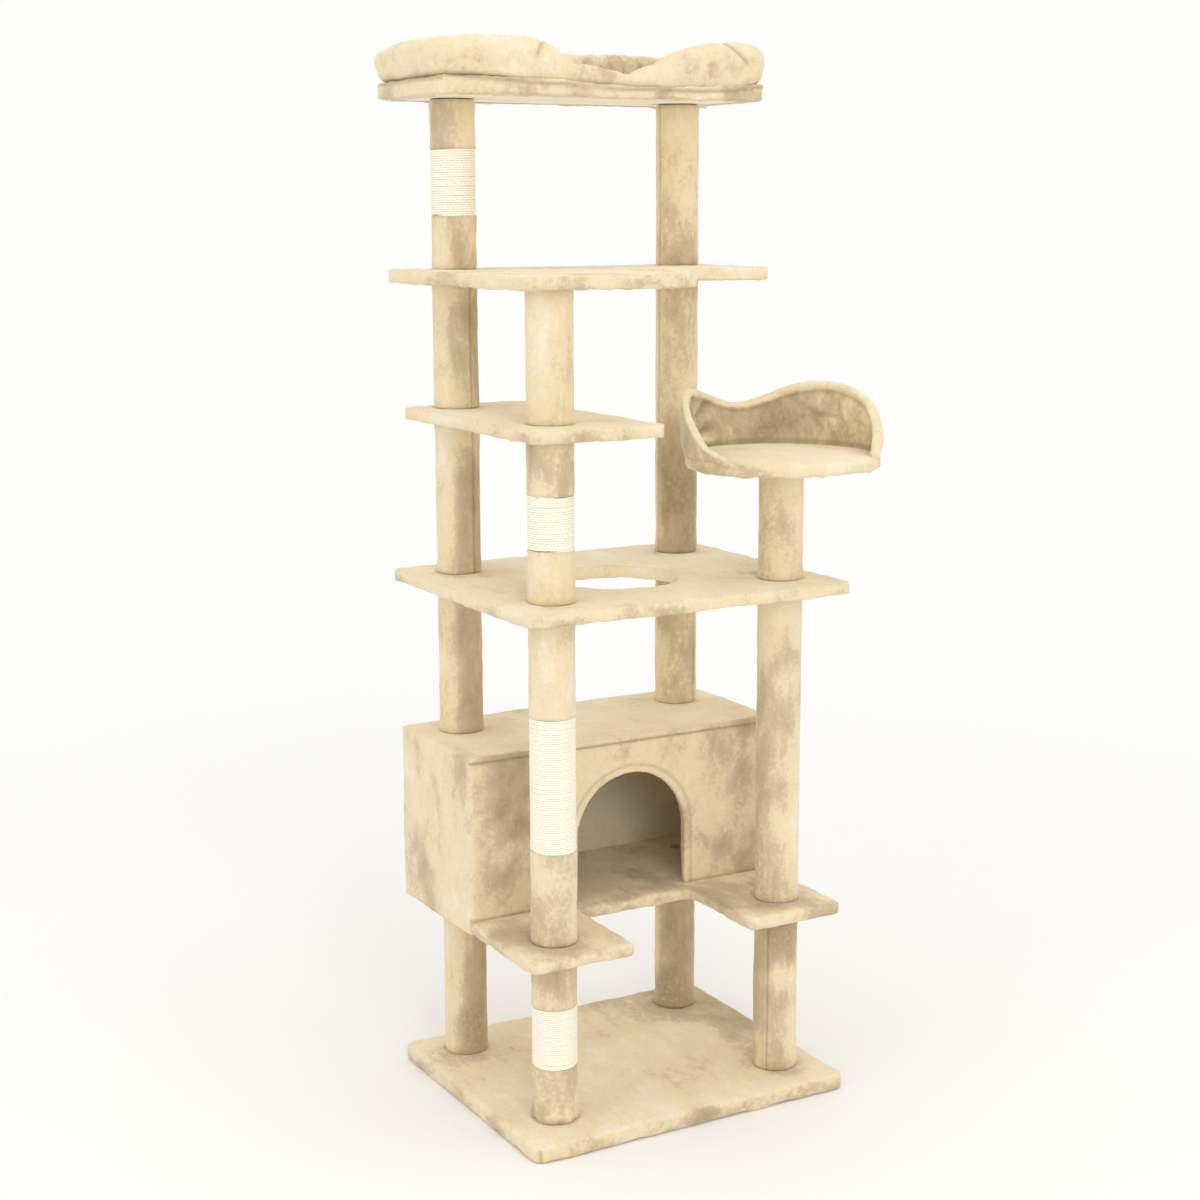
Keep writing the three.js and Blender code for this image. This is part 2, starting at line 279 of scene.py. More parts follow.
def faceOutwards(obj):
    bm = bmesh.new()
    bm.from_mesh(obj.data)
    bmesh.ops.recalc_face_normals(bm, faces=bm.faces)
    bm.to_mesh(obj.data)
    bm.free()


# Plush is never quite flat: slow swells, lumps of padding and tufts of pile, each as depth and size
plushSurface = {"swell": (0.0007, 0.11), "lump": (0.0005, 0.026), "tuft": (0.0004, 0.0085)}


def ruffle(obj, seed, strength=1.0):
    co, n = coords(obj), normals(obj)
    shift = sum(depth * wave(co, size, seed + i) for i, (depth, size) in enumerate(plushSurface.values()))
    setCoords(obj, co + n * (strength * shift)[:, None])


def roundedLoop(corners, radius, steps=5):
    points = [Vector(c) for c in corners]
    loop = []
    for i, corner in enumerate(points):
        before, after = points[i - 1], points[(i + 1) % len(points)]
        start = corner + (before - corner).normalized() * radius
        end = corner + (after - corner).normalized() * radius
        for k in range(steps + 1):
            t = k / steps
            p = start * (1 - t) ** 2 + corner * 2 * t * (1 - t) + end * t * t
            loop.append((p.x, p.y))
    return loop


def circleLoop(x, y, radius, steps=48):
    turns = [2 * math.pi * i / steps for i in range(steps)]
    return [(x + radius * math.cos(turn), y + radius * math.sin(turn)) for turn in turns]


def insetCorners(corners, d):      # corners run anticlockwise; each edge moves inwards by d
    points = [Vector(c) for c in corners]
    out = []
    for i, corner in enumerate(points):
        a = (corner - points[i - 1]).normalized()
        b = (points[(i + 1) % len(points)] - corner).normalized()
        inA, inB = Vector((-a.y, a.x)), Vector((-b.y, b.x))
        out.append(corner + (inA + inB) / (1 + inA.dot(inB)) * d)
    return [(p.x, p.y) for p in out]


def prism(name, loops, low, high):      # first loop outside, the others holes
    flat = [p for loop in loops for p in loop]
    count = len(flat)
    verts = [(x, y, low) for x, y in flat] + [(x, y, high) for x, y in flat]
    tris = tessellate_polygon([[Vector((x, y, 0)) for x, y in loop] for loop in loops])
    faces = []
    start = 0
    for loop in loops:
        for i in range(len(loop)):
            a, b = start + i, start + (i + 1) % len(loop)
            faces.append((a, b, b + count, a + count))
        start += len(loop)
    faces += [tuple(t) for t in tris] + [tuple(i + count for i in t) for t in tris]
    obj = newObject(name, verts, faces)
    faceOutwards(obj)
    return obj


def tubeFaces(rings, sides, closed=False):      # joins each ring of points to the next
    total = rings * sides
    faces = []
    for i in range(rings if closed else rings - 1):
        for j in range(sides):
            a, b = i * sides + j, i * sides + (j + 1) % sides
            faces.append((a, b, (b + sides) % total, (a + sides) % total))
    return faces


def distanceToLoops(xy, loops):
    best = np.full(len(xy), 1e9)
    for loop in loops:
        p = np.array(loop)
        q = np.roll(p, -1, 0)
        for a, b in zip(p, q):
            ab = b - a
            t = np.clip(((xy - a) @ ab) / max(ab @ ab, 1e-12), 0, 1)
            best = np.minimum(best, np.hypot(*(xy - a - t[:, None] * ab).T))
    return best


def shaderKit(material):      # short ways to add nodes to a material and join them
    material.use_nodes = True
    tree = material.node_tree
    shader = tree.nodes["Principled BSDF"]

    def add(kind, **values):
        node = tree.nodes.new(kind)
        for key, value in values.items():
            if key in node.inputs:
                node.inputs[key].default_value = value
            else:
                setattr(node, key, value)
        return node

    def feed(socket, value):      # value is another node's output, or fixed
        if hasattr(value, "is_linked"):
            tree.links.new(value, socket)
        else:
            socket.default_value = value

    def dress(values):
        for key, value in values.items():
            feed(shader.inputs[key], value)

    def place():
        return add("ShaderNodeTexCoord").outputs["Object"]

    def stretched(source, scale):
        mapping = add("ShaderNodeMapping")
        feed(mapping.inputs["Vector"], source)
        mapping.inputs["Scale"].default_value = scale
        return mapping.outputs["Vector"]

    def noise(source, scale, detail, rough=0.5, distortion=0.0):
        node = add("ShaderNodeTexNoise", Scale=scale, Detail=detail, Roughness=rough, Distortion=distortion)
        feed(node.inputs["Vector"], source)
        return node.outputs["Fac"]

    def ramp(source, low, high, dark=0.0, light=1.0):
        node = add("ShaderNodeMapRange", interpolation_type="SMOOTHSTEP")
        feed(node.inputs["Value"], source)
        for key, value in (("From Min", low), ("From Max", high), ("To Min", dark), ("To Max", light)):
            feed(node.inputs[key], value)
        return node.outputs["Result"]

    def mix(factor, a, b):
        node = add("ShaderNodeMix", data_type="RGBA")
        for slot, value in ((0, factor), (6, a), (7, b)):
            feed(node.inputs[slot], value)
        return node.outputs[2]

    def maths(operation, a, b=0.0):
        node = add("ShaderNodeMath", operation=operation)
        feed(node.inputs[0], a)
        feed(node.inputs[1], b)
        return node.outputs[0]

    def bump(height, strength, distance, over=None):
        node = add("ShaderNodeBump", Strength=strength, Distance=distance)
        feed(node.inputs["Height"], height)
        if over:
            feed(node.inputs["Normal"], over)
        return node.outputs["Normal"]

    return SimpleNamespace(
        shader=shader, output=tree.nodes["Material Output"], add=add, feed=feed, dress=dress, place=place,
        stretched=stretched, noise=noise, ramp=ramp, mix=mix, maths=maths, bump=bump)


plushLook = {
    "cream": (0.80, 0.665, 0.435, 1),
    "pale": (0.84, 0.75, 0.575, 1),
    "brushed": (0.575, 0.445, 0.295, 1),
    "deep": (0.30, 0.225, 0.125, 1),
    "brushedFrom": 0.485,      # where the pile's level, brushed pile with painted shade, starts to look dark, and where it is wholly so
    "brushedTo": 0.755,
    "patch": 6.0,              # patches, strokes, tufts and fibres per metre, and how much each counts
    "stroke": 27,
    "fineStroke": 64.8,
    "tuft": 115,
    "pile": 400,
    "strokeShare": 0.63,
    "fineShare": 0.24,
    "tuftShare": 0.42,
    "pileShare": 0.32,
    "napShare": 0.16,
    "creaseShade": 0.8,
    "sheenTint": (1.0, 0.92, 0.76, 1),
}


# reads two values painted on the mesh: pile brushed the dark way together with painted shade and painted
# light, and painted shade in seams and tucks
def plushMaterial(name, grain, seed=0.0, s=plushLook):
    material = bpy.data.materials.new(name)
    kit = shaderKit(material)
    moved = kit.add("ShaderNodeVectorMath", operation="ADD")
    moved.inputs[1].default_value = (seed, seed * 1.7, seed * 0.6)
    kit.feed(moved.inputs[0], kit.place())
    here = moved.outputs[0]
    grained = kit.stretched(here, grain)
    nap = kit.add("ShaderNodeAttribute", attribute_name="nap").outputs["Fac"]
    crease = kit.add("ShaderNodeAttribute", attribute_name="crease").outputs["Fac"]
    pile = kit.noise(here, s["pile"], 2, 0.6)
    tufts = kit.noise(here, s["tuft"], 3, 0.6, 0.5)
    strokes = kit.noise(grained, s["stroke"], 4, 0.65, 0.3)
    fineStrokes = kit.noise(grained, s["fineStroke"], 2, 0.6, 0.2)

    level = kit.noise(here, s["patch"], 2, 0.5, 0.4)
    for value, share in ((strokes, s["strokeShare"]), (fineStrokes, s["fineShare"]),
                         (tufts, s["tuftShare"]), (pile, s["pileShare"])):
        level = kit.maths("ADD", level, kit.maths("MULTIPLY", kit.maths("SUBTRACT", value, 0.5), share))
    # the value painted on the mesh adds brushed pile, painted shade and painted light
    level = kit.maths("ADD", level, kit.maths("MULTIPLY", nap, s["napShare"]))
    brushed = kit.ramp(level, s["brushedFrom"], s["brushedTo"])
    deeper = kit.ramp(level, s["brushedTo"] - 0.08, s["brushedTo"] + 0.22, 0.0, 0.6)
    paleness = kit.ramp(level, 0.22, s["brushedFrom"] - 0.02, 1.0, 0.0)
    colour = kit.mix(paleness, s["cream"], s["pale"])
    colour = kit.mix(brushed, colour, s["brushed"])
    colour = kit.mix(deeper, colour, s["deep"])

    # tips of the tufts stay light even where the pile is darkened by brushing and by painted shade
    tips = kit.ramp(tufts, 0.36, 0.80, 0.0, 0.40)
    colour = kit.mix(kit.maths("MULTIPLY", tips, brushed), colour, s["cream"])

    # dark between the fibres, most where the pile is brushed up and painted shaded
    roots = kit.ramp(pile, 0.30, 0.58, 0.34, 0.0)
    roots = kit.maths("MULTIPLY", roots, kit.ramp(brushed, 0.0, 1.0, 0.4, 1.0))
    colour = kit.mix(roots, colour, s["deep"])
    # painted shade in seams, tucks, folds and creases
    colour = kit.mix(kit.maths("MULTIPLY", crease, s["creaseShade"]), colour, s["deep"])
    fibres = kit.bump(pile, 0.6, 0.0011)
    kit.dress({
        "Base Color": colour,
        "Normal": kit.bump(tufts, 0.5, 0.0024, over=fibres),
        "Roughness": kit.ramp(brushed, 0, 1, 0.95, 0.82),
        "Specular IOR Level": 0.12,
        "Sheen Weight": 0.6,
        "Sheen Roughness": 0.4,
        "Sheen Tint": s["sheenTint"],
    })
    return material


ropeLook = {"light": (1.0, 0.965, 0.83, 1), "dark": (0.90, 0.82, 0.63, 1), "twist": 0.009, "strands": 3}


def ropeMaterial(name, s=ropeLook):      # uv: metres along the rope, and once round it
    material = bpy.data.materials.new(name)
    kit = shaderKit(material)
    split = kit.add("ShaderNodeSeparateXYZ")
    kit.feed(split.inputs[0], kit.add("ShaderNodeUVMap", uv_map="along").outputs["UV"])
    turns = kit.maths("DIVIDE", split.outputs[0], s["twist"])
    spiral = kit.maths("ADD", turns, kit.maths("MULTIPLY", split.outputs[1], s["strands"]))
    lay = kit.maths("SINE", kit.maths("MULTIPLY", spiral, 2 * math.pi))
    outward = kit.maths("COSINE", kit.maths("MULTIPLY", split.outputs[1], 2 * math.pi))
    here = kit.place()
    fibres = kit.noise(kit.stretched(here, (1, 1, 2.2)), 600, 3, 0.6)
    stain = kit.noise(here, 22, 3, 0.6)
    worn = kit.ramp(stain, 0.42, 0.75, 0.0, 0.28)
    # painted shade in the grooves of the twist
    twistShade = kit.ramp(lay, -1.0, -0.2, 0.45, 0.0)
    turnGapShade = kit.ramp(outward, 0.25, 0.85, 0.9, 0.0)      # painted shade between one turn and the next
    dark = kit.ramp(fibres, 0.3, 0.62, 0.28, 0.0)
    for shade in (worn, twistShade, turnGapShade):
        dark = kit.maths("MAXIMUM", dark, shade)
    kit.dress({
        "Base Color": kit.mix(dark, s["light"], s["dark"]),
        "Normal": kit.bump(fibres, 0.4, 0.0005, over=kit.bump(lay, 0.5, 0.0008)),
        "Roughness": kit.ramp(fibres, 0.3, 0.7, 0.72, 0.92),
        "Specular IOR Level": 0.2,
        "Sheen Weight": 0.15,
    })
    return material


liningLook = {"cloth": (0.96, 0.92, 0.78, 1), "fleck": (0.84, 0.76, 0.56, 1), "dots": 330}


def liningMaterial(name, s=liningLook):      # pressed non-woven cloth glued under the boards
    material = bpy.data.materials.new(name)
    kit = shaderKit(material)
    here = kit.place()
    dots = kit.add("ShaderNodeTexVoronoi", Scale=s["dots"])
    kit.feed(dots.inputs["Vector"], here)
    cloud = kit.noise(kit.stretched(here, (0.4, 1, 1)), 60, 5, 0.7)
    kit.dress({
        "Base Color": kit.mix(kit.ramp(cloud, 0.4, 0.72, 0.0, 0.6), s["cloth"], s["fleck"]),
        "Normal": kit.bump(dots.outputs["Distance"], 0.35, 0.0005),
        "Roughness": kit.ramp(cloud, 0.3, 0.7, 0.7, 0.9),
    })
    return material


steelLook = {"zinc": (0.62, 0.61, 0.58, 1), "bright": (0.75, 0.75, 0.74, 1), "bloom": (0.42, 0.40, 0.36, 1)}


def steelMaterial(name, tint, s=steelLook):
    material = bpy.data.materials.new(name)
    kit = shaderKit(material)
    here = kit.place()
    scratches = kit.noise(kit.stretched(here, (1, 0.15, 1)), 900, 4, 0.7)
    cloudy = kit.ramp(kit.noise(here, 120, 3), 0.35, 0.7, 0.0, 0.5)
    kit.dress({
        "Base Color": kit.mix(cloudy, tint, s["bloom"]),
        "Roughness": kit.ramp(scratches, 0.3, 0.7, 0.28, 0.55),
        "Metallic": 1.0,
    })
    return material


addWorld()
addCamera()
middle = (cadBox[0] + cadBox[1]) / 2
for lampName in ("key", "left", "top"):
    addSoftbox(lampName, middle)
addFloor()
print("camera, light and floor")

boardPlush = plushMaterial("boardPlush", grain=(1, 0.45, 1))
postPlush = plushMaterial("postPlush", grain=(1, 1, 0.4), seed=3.1)
condoPlush = plushMaterial("condoPlush", grain=(0.7, 0.7, 0.5), seed=7.7)
paddedPlush = plushMaterial("paddedPlush", grain=(1, 1, 0.6), seed=5.3)
sisalRope = ropeMaterial("sisalRope")
lining = liningMaterial("lining")
zincSteel = steelMaterial("zincSteel", steelLook["zinc"])
stapleSteel = steelMaterial("stapleSteel", steelLook["bright"])
print("materials")


boardSettings = {
    "voxel": 0.0055,
    "smoothing": 3,
    "edge": 0.47,          # rounding, as a share of the board's thickness
    "edgeSteps": 4,
    "side": (0.004, 0.014),    # the plush within this distance of the outline counts as the board's side
    "margin": 0.004,       # and within this height of a face as part of that face
    "hem": 0.034,          # plush turned under the board
    "hemWander": 0.005,
    "recess": 0.0022,      # the bare board inside the hem lies this much higher
    "lowerEdge": 0.0018,   # how far the turned edge wanders up and down
    "sideLump": 0.0011,    # padding bunched along the edge
    "pleat": 0.0042,       # depth of the fold at a corner
    "pleatWidth": 0.0035,
    "pleatOff": 0.004,     # how far a fold may sit beside its corner
    "foot": 0.0012,        # plush crowded up round a post
    "liningOverlap": 0.010,    # the lining reaches this far under the hem
    "liningBottom": 0.0012,
    "liningTop": 0.0032,
    "stapleIn": 0.009,     # staples sit this far outside the hem's edge, a gap apart, none quite straight
    "stapleGap": 0.062,
    "stapleSlack": 0.008,
    "stapleTurn": 0.35,
}

posts = sorted(n for n in frame["nodes"] if "_post_" in n)
postRadius = (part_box(posts[0])[1].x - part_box(posts[0])[0].x) / 2


def rectangleCorners(lo, hi, inset=0.0):
    left, right, front, back = lo.x + inset, hi.x - inset, lo.y + inset, hi.y - inset
    return [(left, front), (right, front), (right, back), (left, back)]


def postsAt(low, high, touching=0.003):      # middles of the posts that stand on a board or hold it up
    found = []
    for post in posts:
        lo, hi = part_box(post)
        above = abs(lo.z - high) < touching
        if above or abs(hi.z - low) < touching:
            found.append(((lo.x + hi.x) / 2, (lo.y + hi.y) / 2, above))
    return found


# loose makes the cloth baggier, folds are the corners with a deep fold, and nap and seam give values to
# paint: pile brushed the dark way with painted shade, and a painted shade line
def plushBoard(name, node, loops, seed, corners=(), nap=None, folds=(), loose=1.0, seam=None):
    s = boardSettings
    low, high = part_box(node)[0].z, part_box(node)[1].z
    tall = high - low
    obj = prism(name, loops, low, high)
    roundEdges(obj, s["edge"] * tall, s["edgeSteps"])
    remesh(obj, s["voxel"], s["smoothing"])
    co, n = coords(obj), normals(obj)
    brushAndShade = np.zeros(len(co))
    crease = np.zeros(len(co))
    gap = distanceToLoops(co[:, :2], loops)

    # the hem: plush turned under, with the bare board a little higher inside it and painted shade along its
    # edge
    under = (co[:, 2] < low + s["margin"]) & (n[:, 2] < -0.4)
    hem = s["hem"] + s["hemWander"] * wave(co, 0.05, seed)
    co[:, 2] += under * s["recess"] * ease(gap, hem - 0.002, hem + 0.004)
    crease += under * 0.7 * bell(gap - hem, 0.004)

    # the lower edge wanders, the side is lumpy, and the side is darker towards the bottom, pile brushed the
    # dark way together with painted shade
    side = 1 - ease(gap, *s["side"])
    edge = side * (1 - ease(co[:, 2], low + s["margin"], high - s["margin"]))
    co[:, 2] += loose * edge * s["lowerEdge"] * (wave(co, 0.030, seed + 3) + 0.6 * wave(co, 0.012, seed + 4))
    lumps = wave(co, 0.026, seed + 6) + 0.5 * wave(co, 0.011, seed + 7)
    co += n * (loose * side * s["sideLump"] * lumps)[:, None]
    brushAndShade += side * (0.35 + 0.9 * wave(co, 0.035, seed + 8)) * (1 - ease(co[:, 2], low + 0.3 * tall, high))

    # each corner has a fold where the plush is gathered, with painted shade in the fold
    corners = np.array(corners)
    for k, corner in enumerate(corners):
        before, after = corners[k - 1], corners[(k + 1) % len(corners)]
        bisector = unit(unit(before - corner) + unit(after - corner))
        away = co[:, :2] - corner
        aside = away @ np.array([-bisector[1], bisector[0]]) - s["pleatOff"] * math.sin(3 * k + seed)
        near = bell(away @ bisector, 0.045) * (1 - ease(co[:, 2], low + 0.6 * tall, high - 0.002))
        fold = near * bell(aside, s["pleatWidth"]) * (1.0 if k in folds else 0.3)
        co[:, :2] += (s["pleat"] * fold)[:, None] * bisector
        crease += 0.7 * fold

    # plush crowds up round each post with a painted shade ring at its foot, and is brushed the dark way
    # there, partly painted shade
    for x, y, above in postsAt(low, high):
        away = np.hypot(co[:, 0] - x, co[:, 1] - y) - postRadius
        way = 1 if above else -1
        face = way * n[:, 2] > 0.5
        co[:, 2] += face * way * s["foot"] * bell(away - 0.007, 0.005)
        crease += 0.22 * face * bell(away - 0.001, 0.003)
        patches = ease(wave(co, 0.05, seed + 5), -0.4, 0.4)
        brushAndShade += 0.9 * face * bell(np.maximum(away, 0) - 0.004, 0.035) * patches
    setCoords(obj, co)
    ruffle(obj, seed)
    if nap:
        brushAndShade += nap(co, n)
    if seam:
        crease += seam(co)
    paint(obj, "nap", brushAndShade)
    paint(obj, "crease", np.clip(crease, 0, 1))
    return finishPiece(obj, boardPlush, [node])


def underPanel(name, node, corners, hole=None, s=boardSettings):
    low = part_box(node)[0].z
    inset = s["hem"] - s["liningOverlap"]
    loops = [roundedLoop(insetCorners(corners, inset), 0.012)]
    if hole:
        loops.append(circleLoop(hole[0], hole[1], hole[2] + inset))
    panel = prism(name, loops, low + s["liningBottom"], low + s["liningTop"])
    finishPiece(panel, lining)
    panel.data.polygons.foreach_set("use_smooth", [False] * len(panel.data.polygons))


def stapleRow(name, node, corners, seed, hole=None, s=boardSettings):
    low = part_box(node)[0].z
    inset = s["hem"] - s["stapleIn"]
    paths = [roundedLoop(insetCorners(corners, inset), 0.01)]
    if hole:
        paths.append(circleLoop(hole[0], hole[1], hole[2] + inset, 40))
    rng = np.random.default_rng(seed)
    verts, faces = [], []
    for path in paths:
        points = np.array(path + path[:1])
        steps = np.hypot(*np.diff(points, axis=0).T)
        total = steps.sum()
        marks = np.concatenate([[0], np.cumsum(steps)])
        for k in range(int(total / s["stapleGap"])):
            d = (k + 0.5) * s["stapleGap"] + rng.uniform(-s["stapleSlack"], s["stapleSlack"])
            x, y = (np.interp(d, marks, points[:, i]) for i in (0, 1))
            nextX, nextY = (np.interp(d + 0.003, marks, points[:, i]) for i in (0, 1))
            angle = math.atan2(nextY - y, nextX - x) + rng.uniform(-s["stapleTurn"], s["stapleTurn"])
            addStaple(verts, faces, x, y, low - 0.0004, angle)
    wire = newObject(name, verts, faces)
    return finishPiece(wire, stapleSteel)


stapleWire = {"half": 0.0052, "leg": 0.004, "thick": 0.0006}


# a crown of flat wire with its two legs bent up into the board
def addStaple(verts, faces, x, y, z, angle, s=stapleWire):
    half, leg, thick = s["half"], s["leg"], s["thick"]
    right = [(half - thick, 0), (half, thick), (half, leg)]
    line = [(-a, h) for a, h in reversed(right)] + right
    c, sn = math.cos(angle), math.sin(angle)
    start = len(verts)
    for a, h in line:
        for b, up in ((-thick, 0), (thick, 0), (thick, thick), (-thick, thick)):
            verts.append((x + a * c - b * sn, y + a * sn + b * c, z + h - up))
    last = 4 * (len(line) - 1)
    sides = tubeFaces(len(line), 4)
    ends = [(3, 2, 1, 0), (last, last + 1, last + 2, last + 3)]
    faces.extend(tuple(start + i for i in face) for face in sides + ends)


def fullBoard(name, node, corners, radius, seed, hole=None, nap=None, folds=(), loose=1.0, seam=None):
    loops = [roundedLoop(corners, radius)]
    if hole:
        loops.append(circleLoop(*hole))
    plushBoard(name, node, loops, seed, corners, nap, folds, loose, seam)
    underPanel(name + "_lining", node, corners, hole)
    stapleRow(name + "_staples", node, corners, seed, hole)


# the top is paler except at the back right, which is painted darker as shade; the front face is darker in the
# middle
def baseNapAndShade(co, n):
    top = n[:, 2] > 0.5
    backRight = ease(0.75 * co[:, 0] + 0.65 * co[:, 1], 0.14, 0.30)
    frontEdge = (n[:, 1] < -0.5) * bell(co[:, 0] - 0.02, 0.22)
    return top * (2.9 * backRight - 0.55) + 1.1 * frontEdge


def stepNap(co, n):
    top = n[:, 2] > 0.5
    return top * (0.35 + 1.3 * wave(co, 0.045, 29))


def platformNap(co, n):
    return -0.5


def shelfNap(co, n):
    top = n[:, 2] > 0.5
    return -0.4 * top


baseLo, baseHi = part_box("base_board")
fullBoard("base", "base_board", rectangleCorners(baseLo, baseHi), 0.026, 11, nap=baseNapAndShade, folds=(0,))

floorLo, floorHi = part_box("condo_floor")
notch = openings["step_notch"]
notchMargin = 0.004      # the openings are given this much smaller than the cut-outs
leftEnd, rightStart = notch[0][0] - notchMargin, notch[1][0] + notchMargin
notchBack = notch[1][1] + notchMargin
floorCorners = [
    (floorLo.x, floorLo.y), (leftEnd, floorLo.y), (leftEnd, notchBack), (rightStart, notchBack),
    (rightStart, floorLo.y), (floorHi.x, floorLo.y), (floorHi.x, floorHi.y), (floorLo.x, floorHi.y),
]
fullBoard("condo_steps", "condo_floor", floorCorners, 0.012, 23, nap=stepNap)

platLo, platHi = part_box("middle_platform")
holeBox = openings["platform_hole"]
holeMid = [(holeBox[0][i] + holeBox[1][i]) / 2 for i in (0, 1)]
holeRadius = 0.75 * (holeBox[1][0] - holeBox[0][0])
fullBoard("platform", "middle_platform", rectangleCorners(platLo, platHi), 0.022, 37,
          hole=(*holeMid, holeRadius), nap=platformNap)

shelfLo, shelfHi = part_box("left_shelf")
fullBoard("small_shelf", "left_shelf", rectangleCorners(shelfLo, shelfHi), 0.022, 41, nap=shelfNap)

upperLo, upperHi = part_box("upper_shelf")
cutOut = openings["upper_shelf_cut_out"]
cutX, cutY = cutOut[0][0] - notchMargin, cutOut[1][1] + notchMargin
upperCorners = [
    (upperLo.x, upperLo.y), (cutX, upperLo.y), (cutX, cutY), (upperHi.x, cutY),
    (upperHi.x, upperHi.y), (upperLo.x, upperHi.y),
]
fullBoard("corner_shelf", "upper_shelf", upperCorners, 0.022, 53)

print("boards")


postSettings = {
    "segments": 60,
    "step": 0.006,
    "lip": 0.0035,         # rounding of the cut edges
    "seamDepth": 0.0024,
    "pucker": 0.0009,      # the plush stands up on both sides of the seam
    "ragged": 0.0013,      # how far the cut edges wander beside the rope
    "overRope": 0.0035,    # how far a sleeve covers the end of the rope
    "coreRadius": 0.0385,      # the post under the rope
    "underRope": 0.0022,
    "bunch": 0.0022,       # cloth bunched up at the foot
    "bunchHeight": 0.012,
}

# where each sleeve's sewn seam faces, in degrees anticlockwise from +X
seamTurns = {
    "front_left_post_1": 100, "front_left_post_2": 60, "front_left_post_3": 75, "front_left_post_4": 80,
    "back_left_post_1": 120, "back_left_post_2": 95, "back_left_post_3": -72, "back_left_post_4": -74,
    "back_left_post_5": 80,
    "back_right_post_1": 60, "back_right_post_2": -64, "back_right_post_3": -178, "back_right_post_4": -176,
    "front_right_post_1": -146, "front_right_post_2": 60, "front_right_post_3": 100,
}

# for each column, the side of its posts that is painted darker as shade, and how strongly
columnShade = {
    "front_left": (-62, 0.2),
    "back_left": (-62, 1.2),
    "back_right": (-105, 1.1),
    "front_right": (-150, 0.6),
}

# for the lowest posts, how dark they are painted all round as shade and how much cloth is bunched up at the
# foot
lowPosts = {
    "front_left_post_1": (0.6, 2.8),
    "back_left_post_1": (0.1, 0.7),
    "back_right_post_1": (0.7, 0.7),
    "front_right_post_1": (1.9, 0.7),
}


# profile is a list of (z, radius), and warp and rise add to each ring's radius and height
def ringStack(angles, profile, x, y, warp, rise):
    verts = []
    for z, radius in profile:
        r = radius + warp(z, angles)
        verts.append(np.stack([x + r * np.cos(angles), y + r * np.sin(angles), z + rise(z, angles)], 1))
    count = len(angles)
    verts = np.concatenate(verts + [[[x, y, profile[0][0]]], [[x, y, profile[-1][0]]]])
    faces = tubeFaces(len(profile), count)
    last = (len(profile) - 1) * count
    low, high = len(verts) - 2, len(verts) - 1
    for j in range(count):
        k = (j + 1) % count
        faces.append((k, j, low))
        faces.append((last + j, last + k, high))
    return verts, faces


def seamAngles(seam, s=postSettings):
    even = [seam + 2 * math.pi * (k + 0.5) / s["segments"] for k in range(1, s["segments"] - 1)]
    near = [seam + d for d in (-0.10, -0.065, -0.035, 0.0, 0.035, 0.065)]
    return np.array(sorted(set(even + near)))


# rounded at each cut edge, and thin under the rope
def sleeveProfile(low, high, radius, wound, s=postSettings):
    lip = s["lip"]
    marks = [(low, radius - lip), (low + 0.3 * lip, radius - 0.3 * lip), (low + lip, radius)]
    if wound:
        for edge, way in ((wound[0], 1), (wound[1], -1)):
            marks += [
                (edge - way * 2.2 * lip, radius),
                (edge - way * 0.9 * lip, radius + 0.0006),
                (edge - way * 0.2 * lip, radius - 0.0005),
                (edge, radius - lip),
                (edge + way * 0.3 * lip, s["coreRadius"] - s["underRope"]),
            ]
    marks += [(high - lip, radius), (high - 0.3 * lip, radius - 0.3 * lip), (high, radius - lip)]
    z = low + 2 * s["step"]
    while z < high - 1.5 * s["step"]:
        inRope = wound and wound[0] - 3 * lip < z < wound[1] + 3 * lip
        if not inRope:
            marks.append((z, radius))
        z += s["step"]
    return sorted(marks)


def fromSeam(angles, seam):      # angle from the seam, between minus and plus half a turn
    return (angles - seam + math.pi) % (2 * math.pi) - math.pi


